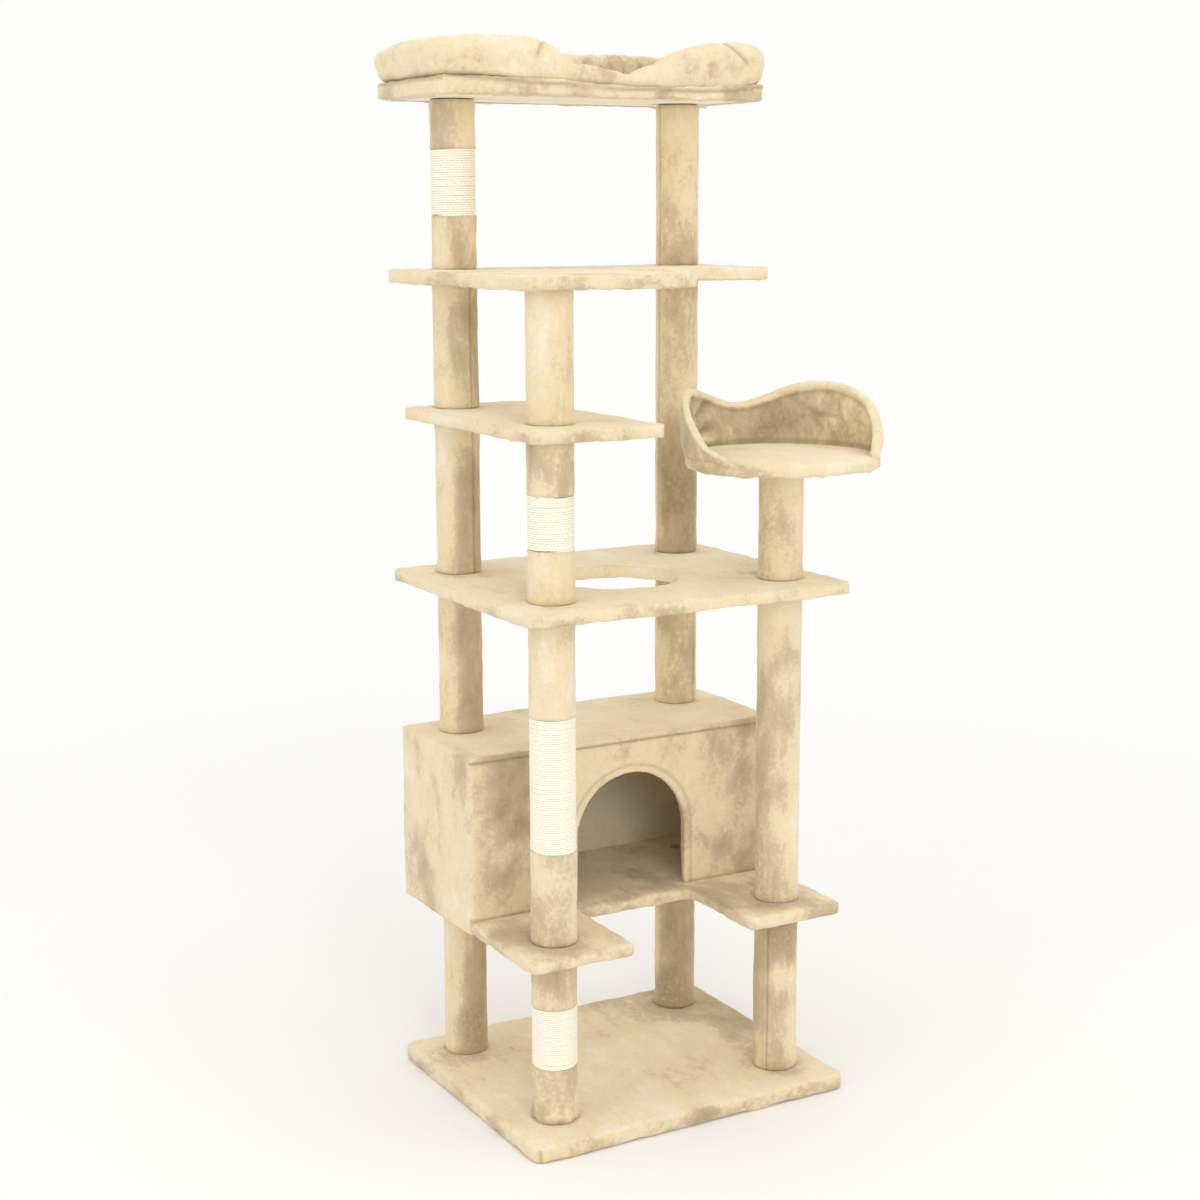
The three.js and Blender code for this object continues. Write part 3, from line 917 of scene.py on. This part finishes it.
# wound holds the bottom and top of the rope on the post, or is None
def postSleeve(node, wound, seed, s=postSettings):
    lo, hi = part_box(node)
    x, y = (lo.x + hi.x) / 2, (lo.y + hi.y) / 2
    radius = (hi.x - lo.x) / 2
    seam = math.radians(seamTurns[node])
    angles = seamAngles(seam)
    lowShade, bunched = lowPosts.get(node, (0.0, 0.25))
    arc = fromSeam(angles, seam) * radius
    groove = -s["seamDepth"] * bell(arc, 0.0018) + s["pucker"] * bell(np.abs(arc) - 0.0046, 0.002)

    def warp(height, around):
        if wound and wound[0] + 0.001 < height < wound[1] - 0.001:
            return 0 * around
        level = np.full(len(around), height)
        ring = np.stack([np.cos(around) * radius + x, np.sin(around) * radius + y, level], 1)
        soft = 0.0007 * wave(ring, 0.07, seed) + 0.0005 * wave(ring, 0.022, seed + 1)
        soft = soft + 0.0004 * wave(ring, 0.009, seed + 2)
        # the sleeve is a little full where it is tucked in at a board, and bunched up at the base
        above, below = height - lo.z - s["bunchHeight"], hi.z - height - s["bunchHeight"]
        ends = 0.0008 * (bell(above, 0.008) + bell(below, 0.008))
        bunch = bunched * bell(above, 0.013) * (0.4 + wave(ring, 0.016, seed + 6))
        return soft + groove + ends + s["bunch"] * bunch - 0.0005

    def rise(height, around):      # the cut edges of the plush wander a little above and below the rope
        if not wound:
            return 0 * around
        ring = np.stack([np.cos(around), np.sin(around), np.full(len(around), seed)], 1)
        close = bell(height - wound[0], 0.010) + bell(height - wound[1], 0.010)
        return close * s["ragged"] * (wave(ring, 0.7, seed + 3) + 0.7 * wave(ring, 0.22, seed + 4))

    profile = sleeveProfile(lo.z, hi.z, radius, wound)
    verts, faces = ringStack(angles, profile, x, y, warp, rise)
    sleeve = newObject(node + "_sleeve", verts, faces)
    co = coords(sleeve)
    around = np.arctan2(co[:, 1] - y, co[:, 0] - x)
    # one side of each post is painted darker as shade, in patches, less so high up on the back posts
    column = node.split("_post_")[0]
    side, strength = columnShade[column]
    toSide = np.cos(around - math.radians(side))
    shadeFadesHigh = 0.9 * column.startswith("back") * ease(co[:, 2], 1.55, 1.75)
    patchy = 0.75 + 0.8 * wave(co, 0.13, seed + 5) - shadeFadesHigh
    nap = strength * patchy * (1.65 * ease(toSide, 0.1, 0.8) - 0.40)
    # the lowest posts painted darker all round as shade
    nap += lowShade * (0.8 + 0.9 * wave(co, 0.045, seed + 8))
    paint(sleeve, "nap", nap)
    # painted shade along the seam, at both ends, in the tucks at the foot and along the edges of the rope
    crease = 0.5 * bell(fromSeam(around, seam) * radius, 0.0022)
    crease += 0.2 * bell(co[:, 2] - lo.z, 0.004) + 0.3 * bell(hi.z - co[:, 2], 0.004)
    tucks = bell(co[:, 2] - lo.z - s["bunchHeight"], 0.013) * ease(-wave(co, 0.016, seed + 6), 0.1, 0.6)
    crease += 0.33 * bunched * tucks
    if wound:
        crease += 0.35 * (bell(co[:, 2] - wound[0], 0.004) + bell(co[:, 2] - wound[1], 0.004))
    paint(sleeve, "crease", np.clip(crease, 0, 1))
    return finishPiece(sleeve, postPlush, [node])


ropeSettings = {
    "thick": 0.0045,
    "pitch": 0.0042,
    "around": 40,          # steps in one turn, and sides of the rope
    "sides": 8,
    "wobble": 0.00022,
    "tuck": 0.45,          # how much each end goes in under the sleeve, within about 1 / tuckRate of a turn
    "tuckDepth": 0.004,
    "tuckRate": 18,
}


def ropeWrap(node, seed, s=ropeSettings):
    lo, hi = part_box(node)
    x, y = (lo.x + hi.x) / 2, (lo.y + hi.y) / 2
    r, sides = s["thick"] / 2, s["sides"]
    coil = (hi.x - lo.x) / 2 - r
    turns = (hi.z - lo.z - s["thick"]) / s["pitch"]
    count = int(turns * s["around"])
    t = np.arange(count + 1) / s["around"]
    angle = 2 * math.pi * t + seed
    rng = np.random.default_rng(seed)
    knots = np.arange(0, turns + 2, 0.25)
    wobble = np.interp(t, knots, rng.uniform(-s["wobble"], s["wobble"], len(knots)))
    z = lo.z + r + s["pitch"] * t + wobble
    fromStart, fromEnd = (t - t[0]) * s["tuckRate"], (t - t[-1]) * s["tuckRate"]
    tuck = 1 - s["tuck"] * bell(fromStart, 1) - s["tuck"] * bell(fromEnd, 1)
    reach = coil - (1 - tuck) * s["tuckDepth"] + 0.6 * wobble
    centre = np.stack([x + reach * np.cos(angle), y + reach * np.sin(angle), z], 1)
    outward = np.stack([np.cos(angle), np.sin(angle), 0 * angle], 1)
    up = np.array([0, 0, 1.0])
    verts = []
    for j in range(sides):
        phi = 2 * math.pi * j / sides
        verts.append(centre + r * (math.cos(phi) * outward + math.sin(phi) * up))
    verts = np.stack(verts, 1).reshape(-1, 3)
    faces = [(a, d, c, b) for a, b, c, d in tubeFaces(count + 1, sides)]
    faces.append(tuple(range(sides)))
    faces.append(tuple(count * sides + j for j in reversed(range(sides))))
    wrap = newObject(node + "_rope", verts, faces)
    uv = wrap.data.uv_layers.new(name="along")
    perTurn = math.hypot(2 * math.pi * coil, s["pitch"])
    loopVerts = np.empty(len(wrap.data.loops), int)
    wrap.data.loops.foreach_get("vertex_index", loopVerts)
    metres = (loopVerts // sides) / s["around"] * perTurn
    around = (loopVerts % sides) / sides
    # the last face round the rope closes from the last side back to 1, not to 0
    starts = np.arange(len(loopVerts)) // 4 * 4
    full = starts < 4 * count * sides
    wraps = np.zeros(len(loopVerts), bool)
    sideOfFace = (starts // 4) % sides
    wraps[full] = (sideOfFace[full] == sides - 1) & (around[full] == 0)
    around[wraps] = 1.0
    uv.data.foreach_set("uv", np.stack([metres, around], 1).ravel())
    return finishPiece(wrap, sisalRope, [node])


wraps = {n.replace("_sisal_", "_post_"): n for n in frame["nodes"] if "_sisal_" in n}
for i, node in enumerate(posts):
    wound = None
    if node in wraps:
        wrapLo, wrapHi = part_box(wraps[node])
        wound = (wrapLo.z + postSettings["overRope"], wrapHi.z - postSettings["overRope"])
        ropeWrap(wraps[node], 100 + i)
    postSleeve(node, wound, 200 + 7 * i)
print("posts and sisal")


condoSettings = {
    "voxel": 0.0042,
    "smoothing": 3,
    "skin": 0.0012,        # plush outside the boards
    "wall": 0.015,
    "corner": 0.014,
    "edge": 0.010,
    "edgeSteps": 3,
    "roofSeam": 0.0028,
    "seamDrop": 0.011,     # the seam lies this far below the top
    "rim": 0.0012,         # the rolled rim round the doorway, the groove outside it and how far out it is
    "rimDepth": 0.0014,
    "rimWidth": 0.015,
    "slack": 0.0016,
    "edgeSlack": 0.0017,
}

roofLo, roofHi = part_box("condo_roof")
doorBox = openings["condo_doorway"]
door = {
    "x": (doorBox[0][0] + doorBox[1][0]) / 2,
    "radius": (doorBox[1][0] - doorBox[0][0]) / 2 + 0.010,
    "spring": doorBox[1][2] + 0.005,
}


def boxMesh(name, lo, hi):
    verts = [(x, y, z) for z in (lo[2], hi[2]) for y in (lo[1], hi[1]) for x in (lo[0], hi[0])]
    faces = [(0, 2, 3, 1), (4, 5, 7, 6), (0, 1, 5, 4), (2, 6, 7, 3), (0, 4, 6, 2), (1, 3, 7, 5)]
    return newObject(name, verts, faces)


def doorwayTool(s=door):      # a block in the shape of the doorway, through the front wall
    left, right, below = s["x"] - s["radius"], s["x"] + s["radius"], floorLo.z - 0.02
    arc = [(s["x"] + s["radius"] * math.cos(a), s["spring"] + s["radius"] * math.sin(a))
           for a in np.linspace(0, math.pi, 25)]
    tool = prism("way", [[(left, below), (right, below)] + arc], -0.05, 0.05)
    tool.data.transform(Matrix.Translation((0, roofLo.y, 0)) @ Matrix.Rotation(math.pi / 2, 4, "X"))
    return tool


def carve(obj, tool):
    cutter = obj.modifiers.new("carve", "BOOLEAN")
    cutter.operation = "DIFFERENCE"
    cutter.solver = "EXACT"
    cutter.object = tool
    applyModifiers(obj)
    bpy.data.objects.remove(tool)


def condoCover(s=condoSettings):
    skin, wall = s["skin"], s["wall"]
    lo = Vector((roofLo.x - skin, roofLo.y - skin, floorLo.z + 0.0005))
    hi = Vector((roofHi.x + skin, roofHi.y + skin, roofHi.z))
    cover = prism("condo_cover", [roundedLoop(rectangleCorners(lo, hi), s["corner"])], lo.z, hi.z)
    roundEdges(cover, s["edge"], s["edgeSteps"])
    carve(cover, boxMesh("inner", (roofLo.x + wall, roofLo.y + wall, floorLo.z - 0.01),
                         (roofHi.x - wall, roofHi.y - wall, roofLo.z)))
    carve(cover, doorwayTool())
    remesh(cover, s["voxel"], s["smoothing"])
    co, n = coords(cover), normals(cover)

    # seam along the roof's front edge, and a rolled rim round the doorway
    front = (n[:, 1] < -0.3) & (co[:, 1] < roofLo.y + 0.004)
    seam = bell(co[:, 2] - (hi.z - s["seamDrop"]) - 0.0012 * wave(co, 0.07, 304), 0.0028) * front
    dx, dz = co[:, 0] - door["x"], np.maximum(co[:, 2] - door["spring"], 0)
    fromDoor = np.hypot(dx, dz) - door["radius"]
    onFace = co[:, 1] < roofLo.y + 0.006
    groove = bell(fromDoor - s["rimWidth"], 0.003) * onFace
    rim = ease(fromDoor, -0.004, 0.003) * (1 - ease(fromDoor, 0.009, s["rimWidth"])) * onFace

    # slack cloth, more along the edges
    slack = s["slack"] * (wave(co, 0.16, 301) + 0.6 * wave(co, 0.06, 302))
    flatness = ease(np.abs(n).max(1), 0.8, 1.0)
    slack = slack * flatness + s["edgeSlack"] * (1 - flatness) * wave(co, 0.075, 303)
    shift = -s["roofSeam"] * seam - s["rimDepth"] * groove + s["rim"] * rim + slack
    setCoords(cover, co + n * shift[:, None])
    ruffle(cover, 311)
    # painted shade lines along the roof seam, in the groove round the doorway and where the front meets the
    # floor
    tuck = bell(co[:, 2] - floorHi.z - 0.002, 0.004) * onFace
    paint(cover, "crease", np.clip(0.9 * seam + 0.5 * groove + 0.7 * tuck, 0, 1))

    # both ends of the front are painted darker in patches, painted shadow of the front posts, and the inside
    # is painted lighter, painted light in the cabin
    ends = (1.6 + 1.5 * wave(co, 0.045, 305)) * (bell(co[:, 0] + 0.24, 0.08) + bell(co[:, 0] - 0.27, 0.065))
    nap = onFace * (ends - 0.25) - 0.4 * (n[:, 2] > 0.5)
    inside = (co[:, 0] > roofLo.x + 0.01) & (co[:, 0] < roofHi.x - 0.01) & (co[:, 1] > roofLo.y + 0.01)
    nap -= 1.6 * inside * (co[:, 1] < roofHi.y - 0.01) * (co[:, 2] < roofLo.z + 0.01)
    paint(cover, "nap", nap)
    return finishPiece(cover, condoPlush, [
        "condo_left_wall", "condo_right_wall", "condo_back_wall", "condo_front_wall", "condo_roof"])


condoCover()
print("condo")


perchSettings = {
    "voxel": 0.0045,
    "columns": 150,
    "seat": 0.004,         # how far the seat's plush bulges up
    # top edge of the backrest: angle round the perch in degrees, height above the plate in metres
    "top": [
        (-50, 0.006), (-38, 0.036), (-26, 0.068), (-10, 0.095), (12, 0.119), (32, 0.125), (53, 0.111),
        (71, 0.089), (87, 0.083), (100, 0.091), (112, 0.107), (130, 0.117), (148, 0.112), (164, 0.076),
        (178, 0.034), (200, 0.006),
    ],
    "least": 0.008,
    "padding": 0.017,
    "sunk": 0.004,         # the pad is pulled down into the pile of the seat
    "welt": 0.018,         # the padded roll along the top edge
    "inside": 0.005,       # how far the inner face lies back behind it
    "gather": 0.0042,
    "gatherFoot": 178,     # the gathers fan out from this angle
    "gatherWaves": 30,
    "cloth": {"pressure": 3.0, "frames": 20, "cap": 0.006, "shrink": -0.05},
    "sewn": 0.006,         # the foot is sewn down this far up
}

plateLo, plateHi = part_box("perch_plate")
plateMid = ((plateLo.x + plateHi.x) / 2, (plateLo.y + plateHi.y) / 2)
plateRadius = (plateHi.x - plateLo.x) / 2


def perchNap(co, n):
    return -0.6 * (n[:, 2] > 0.3)


def perchPlate(b=boardSettings):
    rim = circleLoop(*plateMid, plateRadius, 72)
    plate = plushBoard("perch_seat", "perch_plate", [rim], 71, nap=perchNap, loose=2.0)
    underLoop = circleLoop(*plateMid, plateRadius - b["hem"] + b["liningOverlap"], 72)
    panel = prism("perch_seat_lining", [underLoop], plateLo.z + b["liningBottom"], plateLo.z + b["liningTop"])
    finishPiece(panel, lining)
    co = coords(plate)
    top = co[:, 2] > plateHi.z - 0.004
    away = np.hypot(co[:, 0] - plateMid[0], co[:, 1] - plateMid[1])
    co[top, 2] += perchSettings["seat"] * (1 - ease(away[top], 0.5 * plateRadius, 0.98 * plateRadius))
    setCoords(plate, co)


def smoothTop(angle, table):
    fine = along(angle, table)
    for width in (5.0, 9.0):
        fine = 0.5 * fine + 0.25 * (along(angle - width, table) + along(angle + width, table))
    return fine


# section of the pad: up the outer face, over the round top and down the inner face, as (across, z)
def padSection(foot, height, s=perchSettings):
    thick = s["padding"]
    crown = min(thick / 2, height / 2)
    points = [(1, foot + f * (height - crown)) for f in np.linspace(0, 0.85, 6)]
    for turn in np.linspace(0, math.pi, 9):
        points.append((0.5 + 0.5 * math.cos(turn), foot + height - crown + math.sin(turn) * crown))
    for f in np.linspace(0.85, 0, 6):
        z = foot + f * (height - crown)
        behind = float(ease(foot + height - z, 0.7 * s["welt"], 1.1 * s["welt"])) * s["inside"] / thick
        points.append((behind, z))
    return points


def backrest(s=perchSettings):
    first, last = s["top"][0][0], s["top"][-1][0]
    columns = s["columns"]
    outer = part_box("perch_backrest")[1].x - plateMid[0]
    foot = plateHi.z - s["sunk"]
    verts = []
    for i in range(columns + 1):
        a = first + (last - first) * i / columns
        height = max(s["least"], float(smoothTop(a, s["top"]))) + s["sunk"]
        ang = math.radians(a)
        points = padSection(foot, height)
        for across, z in points:
            r = outer - 0.001 - s["padding"] * (1 - across)
            verts.append((plateMid[0] + r * math.cos(ang), plateMid[1] + r * math.sin(ang), z))
    section = len(points)
    faces = tubeFaces(columns + 1, section)
    faces.append(tuple(reversed(range(section))))
    faces.append(tuple(columns * section + j for j in range(section)))
    pad = newObject("perch_back", verts, faces)
    remesh(pad, s["voxel"], 2)
    inflate(pad, plateHi.z + s["sewn"], s["cloth"])
    subdivide(pad)
    gatherPad(pad, first)
    ruffle(pad, 411, 0.8)
    finishPiece(pad, paddedPlush, ["perch_backrest"])


def gatherPad(pad, first, s=perchSettings):
    co, n = coords(pad), normals(pad)
    around = np.degrees(np.arctan2(co[:, 1] - plateMid[1], co[:, 0] - plateMid[0]))
    around = np.where(around < first, around + 360, around)
    top = plateHi.z + np.maximum(smoothTop(around, s["top"]), s["least"])
    fromTop = top - co[:, 2]
    toMiddle = -(n[:, 0] * (co[:, 0] - plateMid[0]) + n[:, 1] * (co[:, 1] - plateMid[1])) / plateRadius
    inner = ease(toMiddle, 0.1, 0.6) * ease(fromTop, 0.5 * s["welt"], 1.1 * s["welt"])

    # cloth gathered towards the left end, its folds fanning out from the foot of that end
    fan = np.degrees(np.arctan2(co[:, 2] - plateHi.z, np.radians(s["gatherFoot"] - around) * plateRadius))
    folds = np.sin(np.radians(fan * s["gatherWaves"] + 60 * wave(co, 0.05, 421))) * ease(around, 92, 116)
    soft = 0.35 * wave(np.stack([around / 90, co[:, 2] * 0, co[:, 2] * 2], 1), 0.11, 422)
    setCoords(pad, co + n * (inner * s["gather"] * (folds + soft))[:, None])
    # painted shade in the hollows of the folds, under the welt and along the foot
    foot = bell(co[:, 2] - plateHi.z - s["seat"] - 0.002, 0.005)
    welt = bell(fromTop - s["welt"], 0.004)
    crease = inner * (0.75 * ease(-folds, 0.15, 1.0) + 0.45 * welt + 0.7 * foot)
    paint(pad, "crease", np.clip(crease, 0, 1))
    # painted shade on the inner face and on the outer face of the left end; the ridges of the folds painted
    # lighter
    outside = ease(-toMiddle, 0.2, 0.6) * ease(around, 135, 150) * ease(fromTop, 0.002, 0.009)
    nap = 2.5 * inner * (0.5 + 0.5 * ease(around, -10, 60)) + 0.8 * inner * wave(co, 0.03, 423) - 0.3
    paint(pad, "nap", nap - 0.5 * inner * ease(folds, 0.2, 1.0) + 1.6 * outside)


clothSettings = {
    "quality": 5,
    "mass": 0.3,
    "tension_stiffness": 12,
    "compression_stiffness": 12,
    "shear_stiffness": 5,
    "bending_stiffness": 0.4,
    "use_pressure": True,
}


# s holds the pressure, the frames to run, the shrink (below 0 is looser) and the most that a point may move
def inflate(obj, pinBelow, s):
    start = coords(obj)
    pins = obj.vertex_groups.new(name="sewn")
    pins.add([int(i) for i in np.nonzero(start[:, 2] < pinBelow)[0]], 1.0, "REPLACE")
    cloth = obj.modifiers.new("cloth", "CLOTH")
    settings = cloth.settings
    for key, value in clothSettings.items():
        setattr(settings, key, value)
    settings.uniform_pressure_force = s["pressure"]
    settings.shrink_min = s["shrink"]
    settings.vertex_group_mass = "sewn"
    settings.effector_weights.gravity = 0
    cloth.collision_settings.use_collision = False
    cloth.point_cache.frame_start = 1
    cloth.point_cache.frame_end = s["frames"]
    for f in range(1, s["frames"] + 1):
        scene.frame_set(f)
    applyModifiers(obj)
    scene.frame_set(1)
    move = coords(obj) - start
    far = np.linalg.norm(move, axis=1)
    keep = np.minimum(1, s["cap"] / np.maximum(far, 1e-9))
    setCoords(obj, start + move * keep[:, None])
    soft = obj.modifiers.new("soft", "SMOOTH")
    soft.factor = 0.4
    soft.iterations = 1
    applyModifiers(obj)


perchPlate()
backrest()
print("perch")


bolsterSettings = {
    "voxel": 0.006,
    "columns": 260,
    "section": 20,
    "thick": 0.064,
    "bulge": 0.006,        # how far the roll hangs over the board
    "corner": 0.058,
    # height of the roll above its seam, along the front from left to right, then round the other sides
    "front": [
        (-0.345, 0.066), (-0.30, 0.071), (-0.22, 0.069), (-0.16, 0.067), (-0.12, 0.048), (-0.07, 0.025),
        (-0.01, 0.019), (0.05, 0.018), (0.10, 0.030), (0.15, 0.052), (0.20, 0.068), (0.27, 0.076),
        (0.345, 0.068),
    ],
    # how far the front of the roll hangs down over the board's edge
    "hang": [
        (-0.345, -0.003), (-0.25, 0.002), (-0.09, 0.009), (0.05, 0.014), (0.20, 0.013), (0.26, 0.010),
        (0.32, 0.001),
    ],
    "seamWander": 0.0022,
    "back": 0.062,
    "side": 0.066,
    "gather": 0.0040,
    "gatherSpacing": 0.034,
    "cloth": {"pressure": 2.5, "frames": 20, "cap": 0.007, "shrink": -0.06},
    "sewn": 0.010,
}

bedLo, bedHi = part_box("bed_board")


def bedSeamShadow(co, s=bolsterSettings):      # painted shadow line under the edge of the roll
    front = co[:, 1] < bedLo.y + 0.012
    drop = np.where(front, along(co[:, 0], s["hang"]), 0.0)
    return 0.8 * bell(co[:, 2] - bedHi.z + drop + 0.003, 0.0035)


fullBoard("bed_base", "bed_board", rectangleCorners(bedLo, bedHi), 0.034, 67, loose=1.8, seam=bedSeamShadow)


# evenly spaced points along the middle of the roll, with the way out at each and the roll's height there
def rollPath(lo, hi, s=bolsterSettings):
    half = s["thick"] / 2
    loop = np.array(roundedLoop(rectangleCorners(lo, hi, half), s["corner"] - half, 10))
    closed = np.concatenate([loop, loop[:1]])
    lengths = np.concatenate([[0], np.cumsum(np.hypot(*np.diff(closed, axis=0).T))])
    at = np.linspace(0, lengths[-1], s["columns"], endpoint=False)
    path = np.stack([np.interp(at, lengths, closed[:, k]) for k in (0, 1)], 1)
    ahead = np.roll(path, -1, 0) - np.roll(path, 1, 0)
    ahead /= np.linalg.norm(ahead, axis=1)[:, None]
    out = np.stack([ahead[:, 1], -ahead[:, 0]], 1)
    front = 1 - ease(path[:, 1], lo.y + half + 0.01, lo.y + half + 0.06)
    back = ease(path[:, 1], hi.y - half - 0.06, hi.y - half - 0.01)
    height = front * along(path[:, 0], s["front"]) + back * s["back"] + (1 - front - back) * s["side"]
    for _ in range(3):
        height = 0.5 * height + 0.25 * (np.roll(height, 1) + np.roll(height, -1))
    return path, out, height


def bolster(s=bolsterSettings):
    lo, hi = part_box("bed_bolster")
    lo = lo - Vector((s["bulge"], s["bulge"], 0))
    hi = hi + Vector((s["bulge"], s["bulge"], 0))
    section = s["section"]
    verts = []
    for p, o, h in zip(*rollPath(lo, hi)):
        for j in range(section):
            phi = 2 * math.pi * j / section
            across, up = math.cos(phi), math.sin(phi)
            across = math.copysign(abs(across) ** (0.85 if up > 0 else 0.5), across)
            z = lo.z - 0.002 + (h + 0.002) * 0.5 * (1 + math.copysign(abs(up) ** 0.8, up))
            lean = s["thick"] / 2 * across
            verts.append((p[0] + o[0] * lean, p[1] + o[1] * lean, z))
    faces = [(a, d, c, b) for a, b, c, d in tubeFaces(s["columns"], section, closed=True)]
    roll = newObject("bed_roll", verts, faces)
    faceOutwards(roll)
    remesh(roll, s["voxel"], 2)
    inflate(roll, lo.z + s["sewn"], s["cloth"])
    subdivide(roll)
    drapeRoll(roll, lo, hi)
    ruffle(roll, 511)
    finishPiece(roll, paddedPlush, ["bed_bolster"])


def drapeRoll(roll, lo, hi, s=bolsterSettings):
    # the front hangs over the board, and the seam wanders
    co = coords(roll)
    above = co[:, 2] - lo.z
    facing = 1 - ease(co[:, 1], lo.y + 0.010, lo.y + 0.022)
    co[:, 2] -= facing * bell(np.maximum(above, 0), 0.016) * along(co[:, 0], s["hang"])
    co[:, 2] += s["seamWander"] * bell(above, 0.010) * wave(co, 0.040, 522)
    setCoords(roll, co)
    n = normals(roll)
    mid = Vector(((lo.x + hi.x) / 2, (lo.y + hi.y) / 2))
    intoBed = -(n[:, 0] * (co[:, 0] - mid.x) / (hi.x - lo.x) + n[:, 1] * (co[:, 1] - mid.y) / (hi.y - lo.y))
    inner = ease(intoBed, 0.05, 0.35)
    rear = ease(co[:, 1], mid.y + 0.02, mid.y + 0.08)

    # gathers across the back of the roll, and a slanting tuck on each shoulder
    gathers = np.sin(co[:, 0] * 2 * math.pi / s["gatherSpacing"] + 7 * wave(co, 0.09, 521)) * inner * rear
    gathers = gathers * (0.65 + 0.5 * wave(co, 0.055, 523))
    shoulders = bell(co[:, 0] + 0.185 - 0.6 * above, 0.0055) * ease(above, 0.025, 0.045)
    shoulders += bell(co[:, 0] - 0.315 + 1.0 * above, 0.0055) * ease(above, 0.020, 0.045)
    shoulders = shoulders * (1 - rear) * (1 - inner)
    setCoords(roll, co + n * (s["gather"] * (gathers - shoulders))[:, None])
    # painted shade along the seam, in the shoulder tucks and between the gathers
    crease = 0.8 * bell(above, 0.005) + 0.6 * shoulders + 0.5 * ease(-gathers, 0, 1)
    paint(roll, "crease", np.clip(crease, 0, 1))
    # the inner face painted darker as shade, and two darker patches on the front
    dark = 1.1 * inner + (1 - rear) * (0.6 * bell(co[:, 0] + 0.06, 0.06) + 0.6 * bell(co[:, 0] - 0.22, 0.06))
    paint(roll, "nap", dark * (1 - ease(co[:, 2], hi.z - 0.03, hi.z - 0.005) * (1 - inner)) - 0.4)


bolster()
print("bed")


for node, obj in frame["nodes"].items():
    if "bolt" in node or "stud" in node:
        obj.data.materials.clear()
        obj.data.materials.append(zincSteel)
print("fasteners")
